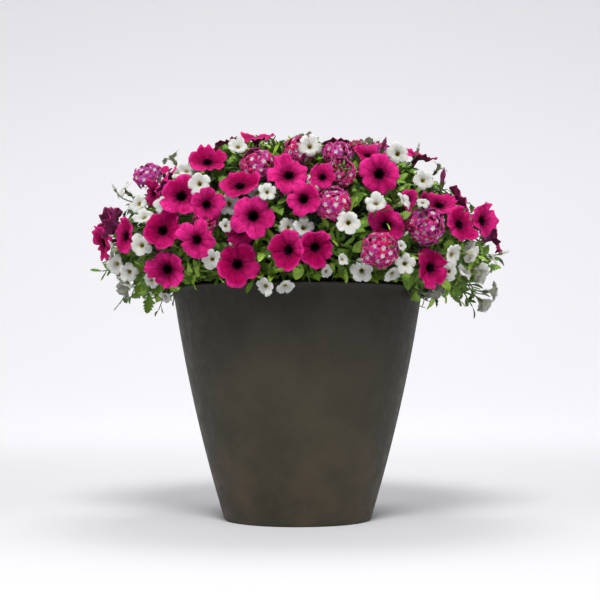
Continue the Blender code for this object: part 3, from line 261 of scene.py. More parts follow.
# The calyx: five sepals round a small cup, in shares of a sepal's length.
SEPAL_ROWS = 5
SEPAL_THICKNESS = 0.0003
SEPAL_OUT = 0.19
CUP_RISES = (-0.04, 0.08, 0.20, 0.32, 0.44)
CUP_RADII = (0.09, 0.15, 0.175, 0.18, 0.17)
CUP_SIDES = 8

# Stalks: from the end of each bloom's tube to a little inside the core.
CURVE_STEPS = 10
STALK_RADII = {"petunia": 0.0012, "calibrachoa": 0.0008, "verbena": 0.0011}
STALK_SWELL = (1.5, 1.35)
STALK_SIDES = 5
STALK_NEAR = 0.12
STALK_TRIES = 6
STALK_HIDDEN = 3
STALK_IN = 0.003
STALK_SPREAD = 0.02
STALK_SINK = 0.12
STALK_END = Vector((0, 0, CORE_BASE + 0.03))
STALK_PULL = 0.018
STALK_SAG = (-0.4, 0.2)
STALK_WANDER = 0.004

# Verbena heads. A style is (hue from pink to purple, share of the crown that is still green buds, florets).
HEAD_SPREAD = math.radians(108)
FLORET_SIZE = 0.0092
FLORET_COLUMNS = 20
FLORET_SHARES = (0.01, 0.40, 1.0)
FLORET_THICKNESS = 0.00025
FLORET_TONES = (-0.45, 0.45)
FLORET_OUT = 0.86
FLORET_LOW = 0.95
LOOSE_SINK = -3
LOOSE_TURN = 0.40
CLOSE_SINKS = (-2, 1)
CLOSE_TURN = 0.24
FLORET_STEM_RADIUS = 0.0006
HEAD_BUDS = 56
HEAD_FEW_BUDS = 4
HEAD_BUD_LINE = (0.009, 0.004, 0.001, -0.0015)
HEAD_BUD_RADII = (0.8, 0.9, 1.1, 1.5, 1.7, 0.9)
HEAD_BUD_TONE = 0.9
HEAD_HEART = 0.62
HEAD_HEART_RINGS = 9
HEAD_HEART_SIDES = 18
HEAD_STYLES = [
    (0.85, 0.0, 30), (0.45, 0.0, 30), (0.20, 0.0, 30), (0.80, 0.0, 28), (0.35, 0.70, 10), (0.20, 0.22, 24),
    (0.35, 0.0, 30), (0.50, 0.0, 34), (0.35, 0.0, 30), (0.10, 0.40, 14),
]
OTHER_HEAD_TONES = (0.15, 0.9)
OTHER_HEAD_GREENS = (0.0, 0.0, 0.10, 0.25)
OTHER_HEAD_FLORETS = 30

# Leaves. Length is the least and the most in metres, shoot is how much of a stem bears leaves, and spacing is
# how far apart they are. Width is a share of the length, and the widths are shares of it along the leaf.
Leaf = namedtuple("Leaf", "length width shares widths fold bend wave tooth_lean shoot spacing")
LEAVES = {
    "petunia": Leaf(
        length=(0.015, 0.028), width=0.56,
        shares=(0, 0.06, 0.18, 0.35, 0.52, 0.72, 0.88, 1),
        widths=(0.10, 0.16, 0.62, 0.96, 1, 0.78, 0.42, 0.04),
        fold=0.45, bend=0.9, wave=0.020, tooth_lean=0.0, shoot=0.045, spacing=0.013,
    ),
    "calibrachoa": Leaf(
        length=(0.012, 0.021), width=0.30,
        shares=(0, 0.15, 0.4, 0.65, 0.85, 1),
        widths=(0.16, 0.42, 0.85, 1, 0.75, 0.08),
        fold=0.35, bend=0.7, wave=0.0, tooth_lean=0.0, shoot=0.040, spacing=0.0055,
    ),
    "verbena": Leaf(
        length=(0.018, 0.029), width=0.60,
        shares=(0, 0.12, 0.20, 0.27, 0.34, 0.43, 0.49, 0.58, 0.64, 0.73, 0.79, 0.87, 0.91, 1),
        widths=(0.10, 0.16, 0.60, 0.42, 0.92, 1.0, 0.62, 0.95, 0.55, 0.76, 0.42, 0.48, 0.26, 0.03),
        fold=0.40, bend=0.8, wave=0.012, tooth_lean=-0.18, shoot=0.045, spacing=0.014,
    ),
}
LEAVES["spoon"] = LEAVES["calibrachoa"]._replace(length=(0.014, 0.022), width=0.42, spacing=0.006)
LEAVES["cut"] = LEAVES["verbena"]._replace(length=(0.011, 0.018), width=0.75, spacing=0.0065)
Blade = namedtuple("Blade", "root along upper length tone")
Shoot = namedtuple("Shoot", "line kind blades")
LEAF_THICKNESS = 0.00035

# Leaves keep out of the blooms, out of the way of their faces, off the pot and inside the bush's outline.
LEAF_TESTS = (0.08, 0.22, 0.36, 0.50, 0.64, 0.78, 0.90, 1.0)
LEAF_SIDES = (0.35, 0.65)
LEAF_SIDE_OUT = 0.4
LEAF_CLEAR = 0.0018
LEAF_POT_CLEAR = 0.002
LEAF_REACH = 0.99
SHOULDER_DROP = 0.09
SHOULDER_PLACE = 0.165
SHOULDER_WIDTH = 0.06
FACE_CLEAR = 0.045
FACE_BEHIND = -0.001
FACE_SHARE = 0.95
SIGHT_KEEP = 0.90
SIGHT_PAST = 1.002
SEEN_BACK = 0.02

# Shoots over the mound, leaves near its heart, and shoots at the pot's rim. The shares are the chances of
# each kind of leaf, in their order above.
STEM_POINTS = 9
STEM_RADII = (0.0011, 0.0007)
STEM_SIDES = 4
STEM_RINGS = 5
STEM_TONE = 0.4
STEM_TESTS = 16
STEM_HIDDEN = 2
SHOOT_LATTICE = 1250
SHOOT_TOP = 0.985
SHOOT_LOW = -0.55
SHOOT_DEPTH = (0.002, 0.026)
SHOOT_SHARES = (0.16, 0.46, 0.18, 0.08, 0.12)
SHOOT_WANDER = 0.008
SHOOT_DEPTH_SHADE = 13
SHOOT_START = 0.05
TIP_LEAF = 0.75
TIP_SPREAD = 0.25
LEAF_SPREADS = (0.8, 1.3)
LEAF_RISE = Vector((0, 0, 0.10))
UPPER_RISE = Vector((0, 0, 0.5))
INNER_LATTICE = 2900
INNER_TOP = 0.99
INNER_LOW = -0.26
INNER_OUT = 0.75
INNER_SIZE = 0.9
INNER_TURN = 0.7
INNER_TONES = (0.0, 0.25)
INNER_SHARES = (0.30, 0.30, 0.20, 0.10, 0.10)
RIM_SHOOTS = 230
RIM_ROOTS = (0.110, 0.140)
RIM_TIPS = (0.148, 0.164)
RIM_RISE = (0.283, 0.295)
RIM_ARCH = 0.014
RIM_TONES = (0.35, 0.95)
RIM_SHARES = (0.25, 0.40, 0.10, 0.15, 0.10)

# Shoots that trail or stand out beyond the mound: (tip in millimetres, kind of leaf).
TRAILING = [
    ((-228, -30, 404), "calibrachoa"), ((-205, -75, 256), "cut"), ((206, -65, 256), "spoon"),
    ((228, 25, 262), "spoon"), ((-180, 95, 258), "cut"), ((110, 172, 262), "spoon"),
    ((188, -95, 262), "spoon"), ((-186, -98, 260), "cut"), ((-170, -88, 268), "cut"),
    ((-196, -60, 270), "cut"), ((-214, -60, 268), "cut"), ((216, -50, 266), "spoon"),
    ((196, -80, 270), "spoon"), ((-160, -100, 272), "cut"), ((120, 150, 266), "cut"),
    ((0, 190, 268), "spoon"), ((-90, 175, 266), "cut"), ((215, 70, 268), "cut"), ((-225, 60, 266), "spoon"),
]
TRAIL_POINTS = 12
TRAIL_ARCH = 0.022
TRAIL_TONE = 0.35

# Buds: where each begins in millimetres, the way it points and its length in millimetres. The radii, evenly
# spaced from the calyx to the tip, are shares of the length.
BUD_RADII = (0.05, 0.075, 0.08, 0.09, 0.13, 0.12, 0.05, 0.01)
BUD_RINGS = 12
BUD_SIDES = 12
BUD_SEPAL = 0.45
BUD_STALK_RADIUS = 0.0009
BUD_STALK_SIDES = 6
BUDS = {
    "petunia": [
        ((170, -60, 396), (0.15, -0.2, 1), 26), ((96, -120, 430), (0.3, -0.5, 1), 20),
        ((-14, -150, 372), (-0.3, -1, 0.4), 20), ((-60, 120, 420), (-0.3, 0.5, 1), 22),
        ((120, 110, 400), (0.5, 0.5, 1), 22),
    ],
    "calibrachoa": [
        ((-218, -40, 395), (-0.5, -0.2, 1), 12), ((140, -90, 436), (0.2, -0.3, 1), 12),
        ((238, -60, 318), (1, -0.3, 0.3), 14), ((-72, -182, 318), (-0.2, -1, 0.2), 12),
        ((86, -180, 322), (0.3, -1, 0.1), 12), ((70, -176, 300), (0.4, -1, -0.2), 12),
        ((-32, -178, 306), (0.2, -1, 0), 12), ((118, -168, 330), (0.4, -1, 0.4), 12),
        ((10, 130, 440), (0, 0.6, 1), 12), ((-150, 130, 340), (-0.6, 0.8, 0.3), 12),
    ],
}

# The photograph's camera, and soft lights: (name, place, aim, size, watts).
CAMERA_SIDE = 0.0029
CAMERA_PITCH = math.radians(2.58)
CAMERA_LENS = 83.3
CAMERA_SENSOR = 36
CAMERA_NEAR = 0.05
LIGHTS = [
    ("key", (-0.05, -1.85, 2.3), (0, 0, 0.35), (1.0, 0.8), 69),
    ("side_left", (-2.0, -0.9, 0.9), (0, 0, 0.25), (0.8, 1.4), 7),
    ("side_right", (2.0, -0.9, 0.9), (0, 0, 0.25), (0.8, 1.4), 7),
    ("top", (0, 0.55, 2.4), (0, 0, 0.2), (1.0, 1.0), 19),
]
SKY_COLOUR = (0.97, 0.98, 1.0, 1.0)
SKY_STRENGTH = 0.19
STAGE_PROFILE = [(-3.0, 0.0), (0.9, 0.0), (2.2, 0.0), (3.0, 0.25), (3.4, 1.0), (3.4, 3.6)]
STAGE_HALF_WIDTH = 4.5


# Layout: where each bloom is and which way it faces, by the same rules as the solids.


def mound_level(point):
    """Under 1 inside the mound that the bloom faces lie on, over 1 outside it."""
    x, y, z = point
    flat = math.hypot(x, y)
    side = (x / flat) ** 2 if flat > 0 else 0.0
    drop = FRONT_DROP + (SIDE_DROP - FRONT_DROP) * side
    reach = math.hypot(x / MOUND_HALF_WIDTH, y / MOUND_HALF_DEPTH)
    lift = (z - MOUND_WAIST) / (MOUND_RISE if z > MOUND_WAIST else drop)
    return (reach**MOUND_POWER + abs(lift) ** MOUND_POWER) ** (1 / MOUND_POWER)


def mound_normal(point, step=0.001):
    """The way straight out of the mound at this point."""
    slope = [
        mound_level(point + Vector(axis) * step) - mound_level(point - Vector(axis) * step)
        for axis in ((1, 0, 0), (0, 1, 0), (0, 0, 1))
    ]
    return Vector(slope).normalized()


def mound_point(direction):
    """The point of the mound in this direction from the middle of its waist."""
    centre = Vector((0, 0, MOUND_WAIST))
    near, far = 0.0, 0.6
    for _ in range(30):
        middle = (near + far) / 2
        if mound_level(centre + direction * middle) < 1:
            near = middle
        else:
            far = middle
    return centre + direction * near


def sight_point(across, height):
    """Where the sight line through this place of the front view meets or passes the mound, and its way."""
    eye = Vector((0, -VIEW_DISTANCE, VIEW_HEIGHT))
    ray = Vector((across * MM, VIEW_DISTANCE, height * MM - VIEW_HEIGHT))
    first, last = SIGHT_RANGE
    points = [eye + ray * share for share in np.linspace(first, last, SIGHT_STEPS)]
    points = [point for point, clear in zip(points, outside_pot(np.array(points), SIGHT_CLEAR)) if clear]
    levels = [mound_level(point) for point in points]
    inside = [point for point, level in zip(points, levels) if level <= 1]
    return (inside[0] if inside else points[levels.index(min(levels))]), ray.normalized()


def facing_of(yaw, pitch):
    """The way a bloom faces, from degrees to the right and up."""
    yaw, pitch = math.radians(yaw), math.radians(pitch)
    return Vector((math.sin(yaw) * math.cos(pitch), -math.cos(yaw) * math.cos(pitch), math.sin(pitch)))


def side_axes(normal):
    """Two unit vectors square to the normal and to each other, the second as upright as can be."""
    upright = Vector((0, 0, 1)) if abs(normal.z) < 0.95 else Vector((0, 1, 0))
    side = upright.cross(normal).normalized()
    return side, normal.cross(side).normalized()


def facing_matrix(facing):
    """Axes whose +Z is this way."""
    side, up = side_axes(facing)
    return Matrix((side, up, facing)).transposed().to_4x4()


def bloom_profile(bloom):
    """The bloom's outline from its axis, as (radius, height) pairs from the petal edge to the tube's end."""
    kind = KINDS[bloom.kind]
    edge = kind.width / 2 * bloom.size
    if bloom.kind == "verbena":
        low = edge * HEAD_DEPTH
        outline = [(edge * math.sin(turn), low * (math.cos(turn) - 1)) for turn in HEAD_TURNS]
        return outline + [(0.0, -kind.length * bloom.size)]
    neck = (kind.neck_radius * bloom.size, -kind.neck_depth * bloom.size)
    return [(edge, 0.0), neck, (0.0, -kind.length * bloom.size)]


def bloom_samples(bloom):
    """Points all over the bloom's outline."""
    profile = bloom_profile(bloom)
    side, up = side_axes(bloom.facing)
    points = []
    for start, end in zip(profile, profile[1:]):
        for radius, height in np.linspace(start, end, SAMPLE_STEPS):
            for turn in range(SAMPLE_TURNS):
                angle = turn * math.tau / SAMPLE_TURNS
                spoke = side * math.cos(angle) + up * math.sin(angle)
                points.append(bloom.centre + spoke * radius + bloom.facing * height)
    return np.array(points)


def distance_to_bloom(points, bloom):
    """Distance of each point from the bloom, taken as its outline turned about its axis."""
    away = points - np.array(bloom.centre)
    height = away @ np.array(bloom.facing)
    radius = np.sqrt(np.maximum((away**2).sum(1) - height**2, 0))
    spots = np.stack([radius, height], 1)
    profile = np.array(bloom_profile(bloom))
    best = np.full(len(points), 1.0)
    for start, end in zip(profile, profile[1:]):
        along = end - start
        share = np.clip((spots - start) @ along / (along @ along), 0, 1)
        best = np.minimum(best, np.linalg.norm(spots - start - share[:, None] * along, axis=1))
    if bloom.kind == "verbena":
        edge = KINDS["verbena"].width / 2 * bloom.size
        deep = edge * HEAD_DEPTH
        best = np.where(np.hypot(radius / edge, (height + deep) / deep) < HEAD_FILL, 0.0, best)
    return best


def pot_radius(height):
    """Outer radius of the pot at this height: the wall's lean lessens evenly towards the rim."""
    bend = (FOOT_RADIUS + FOOT_FLARE * POT_HEIGHT - RIM_RADIUS) / POT_HEIGHT**2
    return FOOT_RADIUS + FOOT_FLARE * height - bend * height**2


def outside_pot(points, margin):
    """True where a point is clear of the pot's wall and of what lies inside the pot."""
    height = np.clip(points[:, 2], 0, POT_HEIGHT)
    flat = np.hypot(points[:, 0], points[:, 1])
    return (points[:, 2] > POT_HEIGHT + margin) | (flat > pot_radius(height) + margin)


def outside_core(points, margin):
    """True where a point is clear of the leafy core."""
    shares, heights = zip(*CORE_PROFILE)
    height = points[:, 2] - CORE_BASE
    share = np.interp(height, heights + (CORE_TOP,), shares + (0.0,)) * (1 + CORE_LUMPS)
    depth = np.where(points[:, 1] < 0, CORE_FRONT_DEPTH, CORE_BACK_DEPTH)
    reach = np.hypot(points[:, 0] / CORE_HALF_WIDTH, points[:, 1] / depth)
    return (height < -margin) | (height > CORE_TOP + margin) | (reach > share + margin / CORE_FRONT_DEPTH)


def settle(bloom, inward, placed):
    """Moves a bloom along its sight line until it is clear of all that is there, or gives None."""
    near = [other for other in placed if (other.centre - bloom.centre).length < NEIGHBOUR_REACH]
    steps = [0.0]
    for count in range(1, round(SETTLE_IN / SETTLE_STEP) + 1):
        steps.append(count * SETTLE_STEP)
        if count * SETTLE_STEP <= SETTLE_OUT:
            steps.append(-count * SETTLE_STEP)
    for share, step in [(share, step) for share in SETTLE_SIZES for step in steps]:
        moved = bloom._replace(centre=bloom.centre + inward * step, size=bloom.size * share)
        points = bloom_samples(moved)
        if not (outside_pot(points, PLACE_CLEAR) & outside_core(points, PLACE_CLEAR)).all():
            continue
        if all(distance_to_bloom(points, other).min() > BLOOM_CLEAR for other in near):
            return moved
    return None


def front_sprays(draw):
    """Sprays placed along the sight lines of the front view, and the list of all their blooms."""
    sprays, placed = [], []
    for kind, blooms in FRONT_SPRAYS:
        kept = []
        for across, height, yaw, pitch, size, *lift in blooms:
            centre, ray = sight_point(across, height)
            centre -= ray * sum(lift) * MM
            bloom = Bloom(kind, centre, facing_of(yaw, pitch), size, draw.uniform(0, math.tau))
            found = settle(bloom, ray, placed)
            if found:
                kept.append(found)
                placed.append(found)
        if kept:
            sprays.append((kind, kept))
    return sprays, placed


def grouped(blooms, most):
    """Groups of neighbouring blooms, each gathered round the one that is furthest round to the right."""
    left = list(blooms)
    groups = []
    while left:
        left.sort(key=lambda bloom: math.atan2(bloom.centre.y, bloom.centre.x))
        first = left[0].centre.copy()
        left.sort(key=lambda bloom: (bloom.centre - first).length)
        groups.append(left[:most])
        left = left[most:]
    return groups


def jitter(draw, most):
    """A small random vector."""
    return Vector([draw.uniform(-most, most) for _ in range(3)])


def lattice_way(index, count, top, low):
    """One of many directions spread evenly between two heights."""
    up = top - (top - low) * (index + 0.5) / count
    flat = math.sqrt(1 - up * up)
    return Vector((flat * math.cos(index * GOLDEN_ANGLE), flat * math.sin(index * GOLDEN_ANGLE), up))


def around_sprays(draw, placed):
    """Sprays over the sides, the back and the top, where the front view shows nothing."""
    blooms = {kind: [] for kind in KINDS}
    turn = 0
    lattice = list(range(AROUND_LATTICE))
    draw.shuffle(lattice)
    for index in lattice:
        spot = mound_point(lattice_way(index, AROUND_LATTICE, AROUND_TOP, AROUND_LOW))
        normal = mound_normal(spot)
        if normal.y < AROUND_FACING_FRONT:
            continue
        kind = AROUND_ORDER[turn % len(AROUND_ORDER)]
        if len(blooms[kind]) == AROUND_MOST[kind]:
            turn += 1
            continue
        if any((other.centre - spot).length < AROUND_ROOM[kind] for other in placed):
            continue
        lean = jitter(draw, AROUND_LEAN) + AROUND_LIFT
        facing = (normal + lean).normalized()
        bloom = Bloom(kind, spot, facing, draw.uniform(*AROUND_SIZE), draw.uniform(0, math.tau))
        found = settle(bloom, -normal, placed)
        if found:
            blooms[kind].append(found)
            placed.append(found)
            turn += 1
    return [(kind, group) for kind in KINDS for group in grouped(blooms[kind], AROUND_SPRAY[kind])]


def bloom_matrix(bloom):
    """The bloom's own axes, +Z the way it faces, at the centre of its face."""
    turn = Matrix.Rotation(bloom.spin, 4, "Z")
    return Matrix.Translation(bloom.centre) @ facing_matrix(bloom.facing) @ turn


def bloom_end(bloom):
    """The end of the bloom's tube, where its stalk begins."""
    return bloom.centre - bloom.facing * KINDS[bloom.kind].length * bloom.size


# Mesh building: grids of points with a place on the petal or leaf for the materials to read.


class Batch:
    """Points, four-sided faces and each point's place, gathered for one mesh."""

    def __init__(self):
        self.points = []
        self.faces = []
        self.places = []
        self.count = 0

    def add(self, points, faces, places):
        """Adds points, the faces between them and the points' places."""
        self.points.append(points.reshape(-1, 3))
        self.faces.append(faces + self.count)
        self.places.append(places.reshape(-1, 4))
        self.count += len(self.points[-1])

    def add_grid(self, points, places=None):
        """Adds a grid of points that closes on itself, with the faces between them."""
        places = place_values(points) if places is None else places
        self.add(points, grid_faces(*points.shape[:2], True), places)

    def mesh_object(self, name, finish):
        """The mesh object of all that was gathered."""
        points, faces = np.concatenate(self.points), np.concatenate(self.faces)
        places = np.concatenate(self.places).astype(np.float32)
        mesh = bpy.data.meshes.new(name)
        mesh.vertices.add(len(points))
        mesh.vertices.foreach_set("co", points.astype(np.float32).ravel())
        mesh.loops.add(faces.size)
        mesh.loops.foreach_set("vertex_index", faces.astype(np.int32).ravel())
        mesh.polygons.add(len(faces))
        mesh.polygons.foreach_set("loop_start", np.arange(0, faces.size, 4, dtype=np.int32))
        mesh.update(calc_edges=True)
        mesh.validate()
        mesh.shade_smooth()
        place = mesh.attributes.new("place", "FLOAT_VECTOR", "POINT")
        place.data.foreach_set("vector", places[:, :3].ravel())
        back = mesh.attributes.new("back", "FLOAT", "POINT")
        back.data.foreach_set("value", places[:, 3].ravel())
        item = bpy.data.objects.new(name, mesh)
        item.data.materials.append(finish)
        bpy.context.scene.collection.objects.link(item)
        return item

    def piece(self, name, finish, nodes=()):
        """The mesh object, riding on the part, in place of these nodes."""
        item = self.mesh_object(name, finish)
        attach(item, "root")
        if nodes:
            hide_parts(*nodes)
        return item


def place_values(points, along=0.0, away=0.0, tone=0.0):
    """What the materials read at each point: how far along, how far from the middle, tone, 0 for a front."""
    places = np.zeros(points.shape[:-1] + (4,))
    for index, values in enumerate((along, away, tone)):
        places[..., index] = values
    return places


def grid_faces(rows, columns, wrap):
    """Four-sided faces of a grid of points, joined round its columns if it wraps."""
    here = np.arange(rows * columns).reshape(rows, columns)
    beside = np.roll(here, -1, 1)
    quads = np.stack([here[:-1], beside[:-1], beside[1:], here[1:]], -1)
    return (quads if wrap else quads[:, :-1]).reshape(-1, 4)


def grid_normals(points, wrap):
    """Unit normals of grids of points, the last three axes being row, column and XYZ."""
    down = np.gradient(points, axis=-3)
    if wrap:
        over = np.roll(points, -1, -2) - np.roll(points, 1, -2)
    else:
        over = np.gradient(points, axis=-2)
    normals = np.cross(over, down)
    return normals / np.maximum(np.linalg.norm(normals, axis=-1, keepdims=True), 1e-12)


def sheet_faces(rows, columns, wrap):
    """Faces of a thin sheet: its front, its back and, where it wraps, the edges between them."""
    back = grid_faces(rows, columns, wrap)
    count = rows * columns
    here = np.arange(count).reshape(rows, columns)
    edges = []
    for line in (here[0], here[-1][::-1]) if wrap else ():
        end = np.roll(line, -1)
        edges.append(np.stack([line, end, end + count, line + count], -1))
    return np.concatenate([back[:, ::-1], back + count] + edges)


def add_sheets(batch, points, places, thickness, wrap):
    """Adds thin closed sheets whose fronts are these grids, the last three axes row, column and XYZ.

    A sheet that wraps has an edge as thick as itself, and any other thins out to nothing at its rim.
    """
    rows, columns = points.shape[-3:-1]
    points, places = points.reshape(-1, rows * columns, 3), places.reshape(-1, rows * columns, 4)
    normals = grid_normals(points.reshape(-1, rows, columns, 3), wrap).reshape(points.shape)
    behind = places.copy()
    behind[..., 3] = 1.0
    depth = np.full((rows, columns), thickness)
    if not wrap:
        depth[[0, -1]] = 0
        depth[:, [0, -1]] = 0
    both = np.concatenate([points, points + normals * depth.reshape(-1, 1)], 1)
    spots = np.concatenate([places, behind], 1)
    starts = np.arange(len(points)) * 2 * rows * columns
    faces = sheet_faces(rows, columns, wrap)[None] + starts[:, None, None]
    batch.add(both, faces.reshape(-1, 4), spots)


def placed_points(points, matrix):
    """A grid of points moved by a matrix."""
    matrix = np.array(matrix)
    return points @ matrix[:3, :3].T + matrix[:3, 3]


def smooth_line(corners, rounds=2):
    """A line of points with its corners cut until it is smooth."""
    line = np.array(corners, float)
    for _ in range(rounds):
        near, far = line[:-1] * 0.75 + line[1:] * 0.25, line[:-1] * 0.25 + line[1:] * 0.75
        line = np.concatenate([line[:1], np.stack([near, far], 1).reshape(-1, line.shape[1]), line[-1:]])
    return line


def resampled(line, count):
    """Evenly spaced points along a line."""
    steps = np.linalg.norm(np.diff(line, axis=0), axis=1)
    reach = np.concatenate([[0], np.cumsum(steps)])
    at = np.linspace(0, reach[-1], count)
    return np.stack([np.interp(at, reach, line[:, axis]) for axis in range(line.shape[1])], 1)


def add_tube(batch, line, radii, sides, tone):
    """A closed tube along a line of points."""
    line = np.array(line, float)
    along = np.gradient(line, axis=0)
    along /= np.linalg.norm(along, axis=1, keepdims=True)
    across = np.zeros_like(along)
    start = np.array(side_axes(Vector(along[0]))[0])
    for index, way in enumerate(along):
        start = start - way * (start @ way)
        start /= np.linalg.norm(start)
        across[index] = start
    other = np.cross(along, across)
    turn = np.arange(sides) * math.tau / sides
    wheel = across[:, None] * np.cos(turn)[None, :, None] + other[:, None] * np.sin(turn)[None, :, None]
    radii = np.array([NOTHING] + list(np.broadcast_to(radii, len(line))) + [NOTHING])
    line = np.concatenate([line[:1], line, line[-1:]])
    wheel = np.concatenate([wheel[:1], wheel, wheel[-1:]])
    points = line[:, None] + wheel * radii[:, None, None]
    batch.add_grid(points, place_values(points, np.linspace(0, 1, len(line))[:, None], np.cos(turn), tone))


def curve_points(start, start_pull, end_pull, end, steps):
    """Points along a cubic curve from start to end."""
    share = np.linspace(0, 1, steps + 1)[:, None]
    start, start_pull, end_pull, end = (np.array(point) for point in (start, start_pull, end_pull, end))
    return (
        start * (1 - share) ** 3
        + start_pull * 3 * share * (1 - share) ** 2
        + end_pull * 3 * share**2 * (1 - share)
        + end * share**3
    )


# Clearance: leaves keep out of the blooms and out of the way of their faces.


def core_point(point):
    """The point of the core's surface on the way from its heart to this point."""
    away = point - CORE_HEART
    near, far = 0.0, 1.0
    for _ in range(16):
        middle = (near + far) / 2
        if outside_core(np.array([CORE_HEART + away * middle]), 0.0)[0]:
            far = middle
        else:
            near = middle
    return CORE_HEART + away * near


def clear_of_blooms(points, blooms):
    """True for each point that is neither in a bloom, nor before its face, nor between it and the eye."""
    eye = np.array([0, -VIEW_DISTANCE, VIEW_HEIGHT])
    clear = np.ones(len(points), bool)
    rays = points - eye
    for bloom in blooms:
        centre, facing = np.array(bloom.centre), np.array(bloom.facing)
        edge = KINDS[bloom.kind].width / 2 * bloom.size
        away = points - centre
        near = np.linalg.norm(away, axis=1) < edge + FACE_CLEAR
        height = away @ facing
        flat = np.sqrt(np.maximum((away**2).sum(1) - height**2, 0))
        clear &= ~((height > FACE_BEHIND) & (height < FACE_CLEAR) & (flat < edge * FACE_SHARE))
        inside = np.zeros(len(points), bool)
        inside[near] = distance_to_bloom(points[near], bloom) < LEAF_CLEAR
        clear &= ~inside
        if bloom.kind == "verbena":
            facing = (eye - centre) / np.linalg.norm(eye - centre)
        slant = rays @ facing
        share = ((centre - eye) @ facing) / np.where(np.abs(slant) < 1e-6, 1e-6, slant)
        crossing = eye + rays * share[:, None]
        before = (share > SIGHT_PAST) & (np.linalg.norm(crossing - centre, axis=1) < edge * SIGHT_KEEP)
        if centre[1] < SEEN_BACK:
            clear &= ~before
    return clear


# Flowers.


def waves(draw, counts, angles):
    """A smooth wave round the petals, made of a few whole counts of ripples."""
    total = np.zeros_like(angles)
    for count in counts:
        total += draw.uniform(0.4, 1.0) * np.sin(count * angles + draw.uniform(0, math.tau))
    return total / math.sqrt(len(counts))


def lobe_values(draw, low, high, angles):
    """One random value for each lobe, read at every angle."""
    values = np.array([draw.uniform(low, high) for _ in range(LOBES)])
    return values[np.round(angles * LOBES / math.tau).astype(int) % LOBES]


def hump(distance, width):
    """1 at no distance, falling off smoothly over this width."""
    return np.exp(-((distance / width) ** 2))


def flower_grid(kind, size, draw):
    """The open face and the tube of a trumpet flower, its closed end first and its petal edge last."""
    flower = FLOWERS[kind]
    angles = np.arange(flower.columns) * math.tau / flower.columns
    round_lobe = np.abs(np.cos(angles * LOBES / 2))
    away = np.arccos(round_lobe) / (math.pi / 2)
    leaning = (angles * LOBES / math.tau + 0.5) % 1 * 2 - 1
    line = resampled(smooth_line(flower.profile), flower.rows) * MM * size
    edge = line[:, 0].max()
    share = (line[:, 0] / edge)[:, None]
    # The outline: lobes of uneven reach with notches between them and a ragged edge.
    reach = 1 - flower.notch * (NOTCH_BROAD * away**2 + (1 - NOTCH_BROAD) * hump(1 - away, NOTCH_WIDTH))
    reach += round_lobe * lobe_values(draw, -flower.uneven, flower.uneven, angles)
    reach += RAGGED * waves(draw, RAGGED_WAVES, angles) + DRIFT * waves(draw, BROAD_WAVES, angles)
    radius = line[:, :1] * (1 + (reach - 1) * share**2)
    # The height: a warped face with a ruffled, crinkled edge.
    depth = np.where(share > TUBE_END, draw.uniform(*FACE_DEPTHS), 1.0)
    height = line[:, 1:] * depth + edge * flower.warp * waves(draw, BROAD_WAVES, angles) * share**2
    height = height + edge * flower.ruffle * waves(draw, RUFFLE_WAVES, angles) * share**4
    height = height + edge * flower.ruffle * CRINKLE * waves(draw, CRINKLE_WAVES, angles) * share**8
    # Each lobe curls back or in at its tip and twists a little.
    curls = lobe_values(draw, -0.3 * flower.curl, flower.curl, angles)
    height = height - edge * curls * round_lobe * share**4
    twists = lobe_values(draw, -flower.twist, flower.twist, angles)
    height = height + edge * twists * leaning * share**5
    # A crease lies along the middle of each lobe and a deeper one between lobes.
    fold = np.sin(math.pi * np.clip(share * 1.1 - 0.1, 0, 1)) ** 0.7
    height = height - edge * flower.crease * 0.4 * hump(away, RIB_WIDTH) * fold
    valley = 1.6 * hump(1 - away, VALLEY_WIDTH) + 1.3 * away**2
    height = height - edge * flower.crease * valley * share
    turn = angles + SWIRL * waves(draw, SWIRL_WAVES, angles) * share**2
    points = np.stack([radius * np.cos(turn), radius * np.sin(turn), height], -1)
    # Each bloom has a tone of its own, and each lobe a little more or less, partly as painted shade that
    # differs from lobe to lobe.
    tone = np.clip(draw.uniform(*BLOOM_TONES) + lobe_values(draw, *LOBE_TONES_AND_SHADE, angles), 0, 1)
    return points, place_values(points, share, away, tone)


def add_flower(petals, greens, bloom, others, draw):
    """The petals of a petunia or calibrachoa, its calyx and its stalk."""
    flower = FLOWERS[bloom.kind]
    matrix = bloom_matrix(bloom)
    points, places = flower_grid(bloom.kind, bloom.size, draw)
    add_sheets(petals, placed_points(points, matrix), places, flower.thickness, True)
    tone = draw.random()
    end = KINDS[bloom.kind].length * bloom.size
    length = flower.sepal * bloom.size
    for step in range(LOBES):
        angle = (step + draw.uniform(0.3, 0.7)) * math.tau / LOBES
        add_sepal(greens, matrix, angle, end, length, tone, draw)
    cup = [matrix @ Vector((0, 0, -end + length * rise)) for rise in CUP_RISES]
    add_tube(greens, cup, np.array(CUP_RADII) * length, CUP_SIDES, tone)
    add_stalk(greens, bloom, others, draw)


def add_sepal(greens, matrix, angle, end, length, tone, draw):
    """One narrow sepal, rising along the tube from its end and leaning out at its tip."""
    spread = draw.uniform(0.15, 0.45)
    rows = np.linspace(0, 1, SEPAL_ROWS)[:, None]
    across = np.array([-1, 0, 1])[None, :]
    half = length * 0.15 * np.sin(math.pi * (0.22 + 0.78 * rows)) ** 0.8 + 0.0001
    out = length * (SEPAL_OUT + spread * rows**1.8) - np.abs(across) * half * 0.3
    up = -end + length * rows * (1 - 0.3 * spread * rows) + 0 * across
    sideways = across * half
    x = out * math.cos(angle) - sideways * math.sin(angle)
    y = out * math.sin(angle) + sideways * math.cos(angle)
    points = np.stack([x, y, up], -1)
    places = place_values(points, rows, np.abs(across), tone)
    add_sheets(greens, placed_points(points, matrix), places, SEPAL_THICKNESS, False)


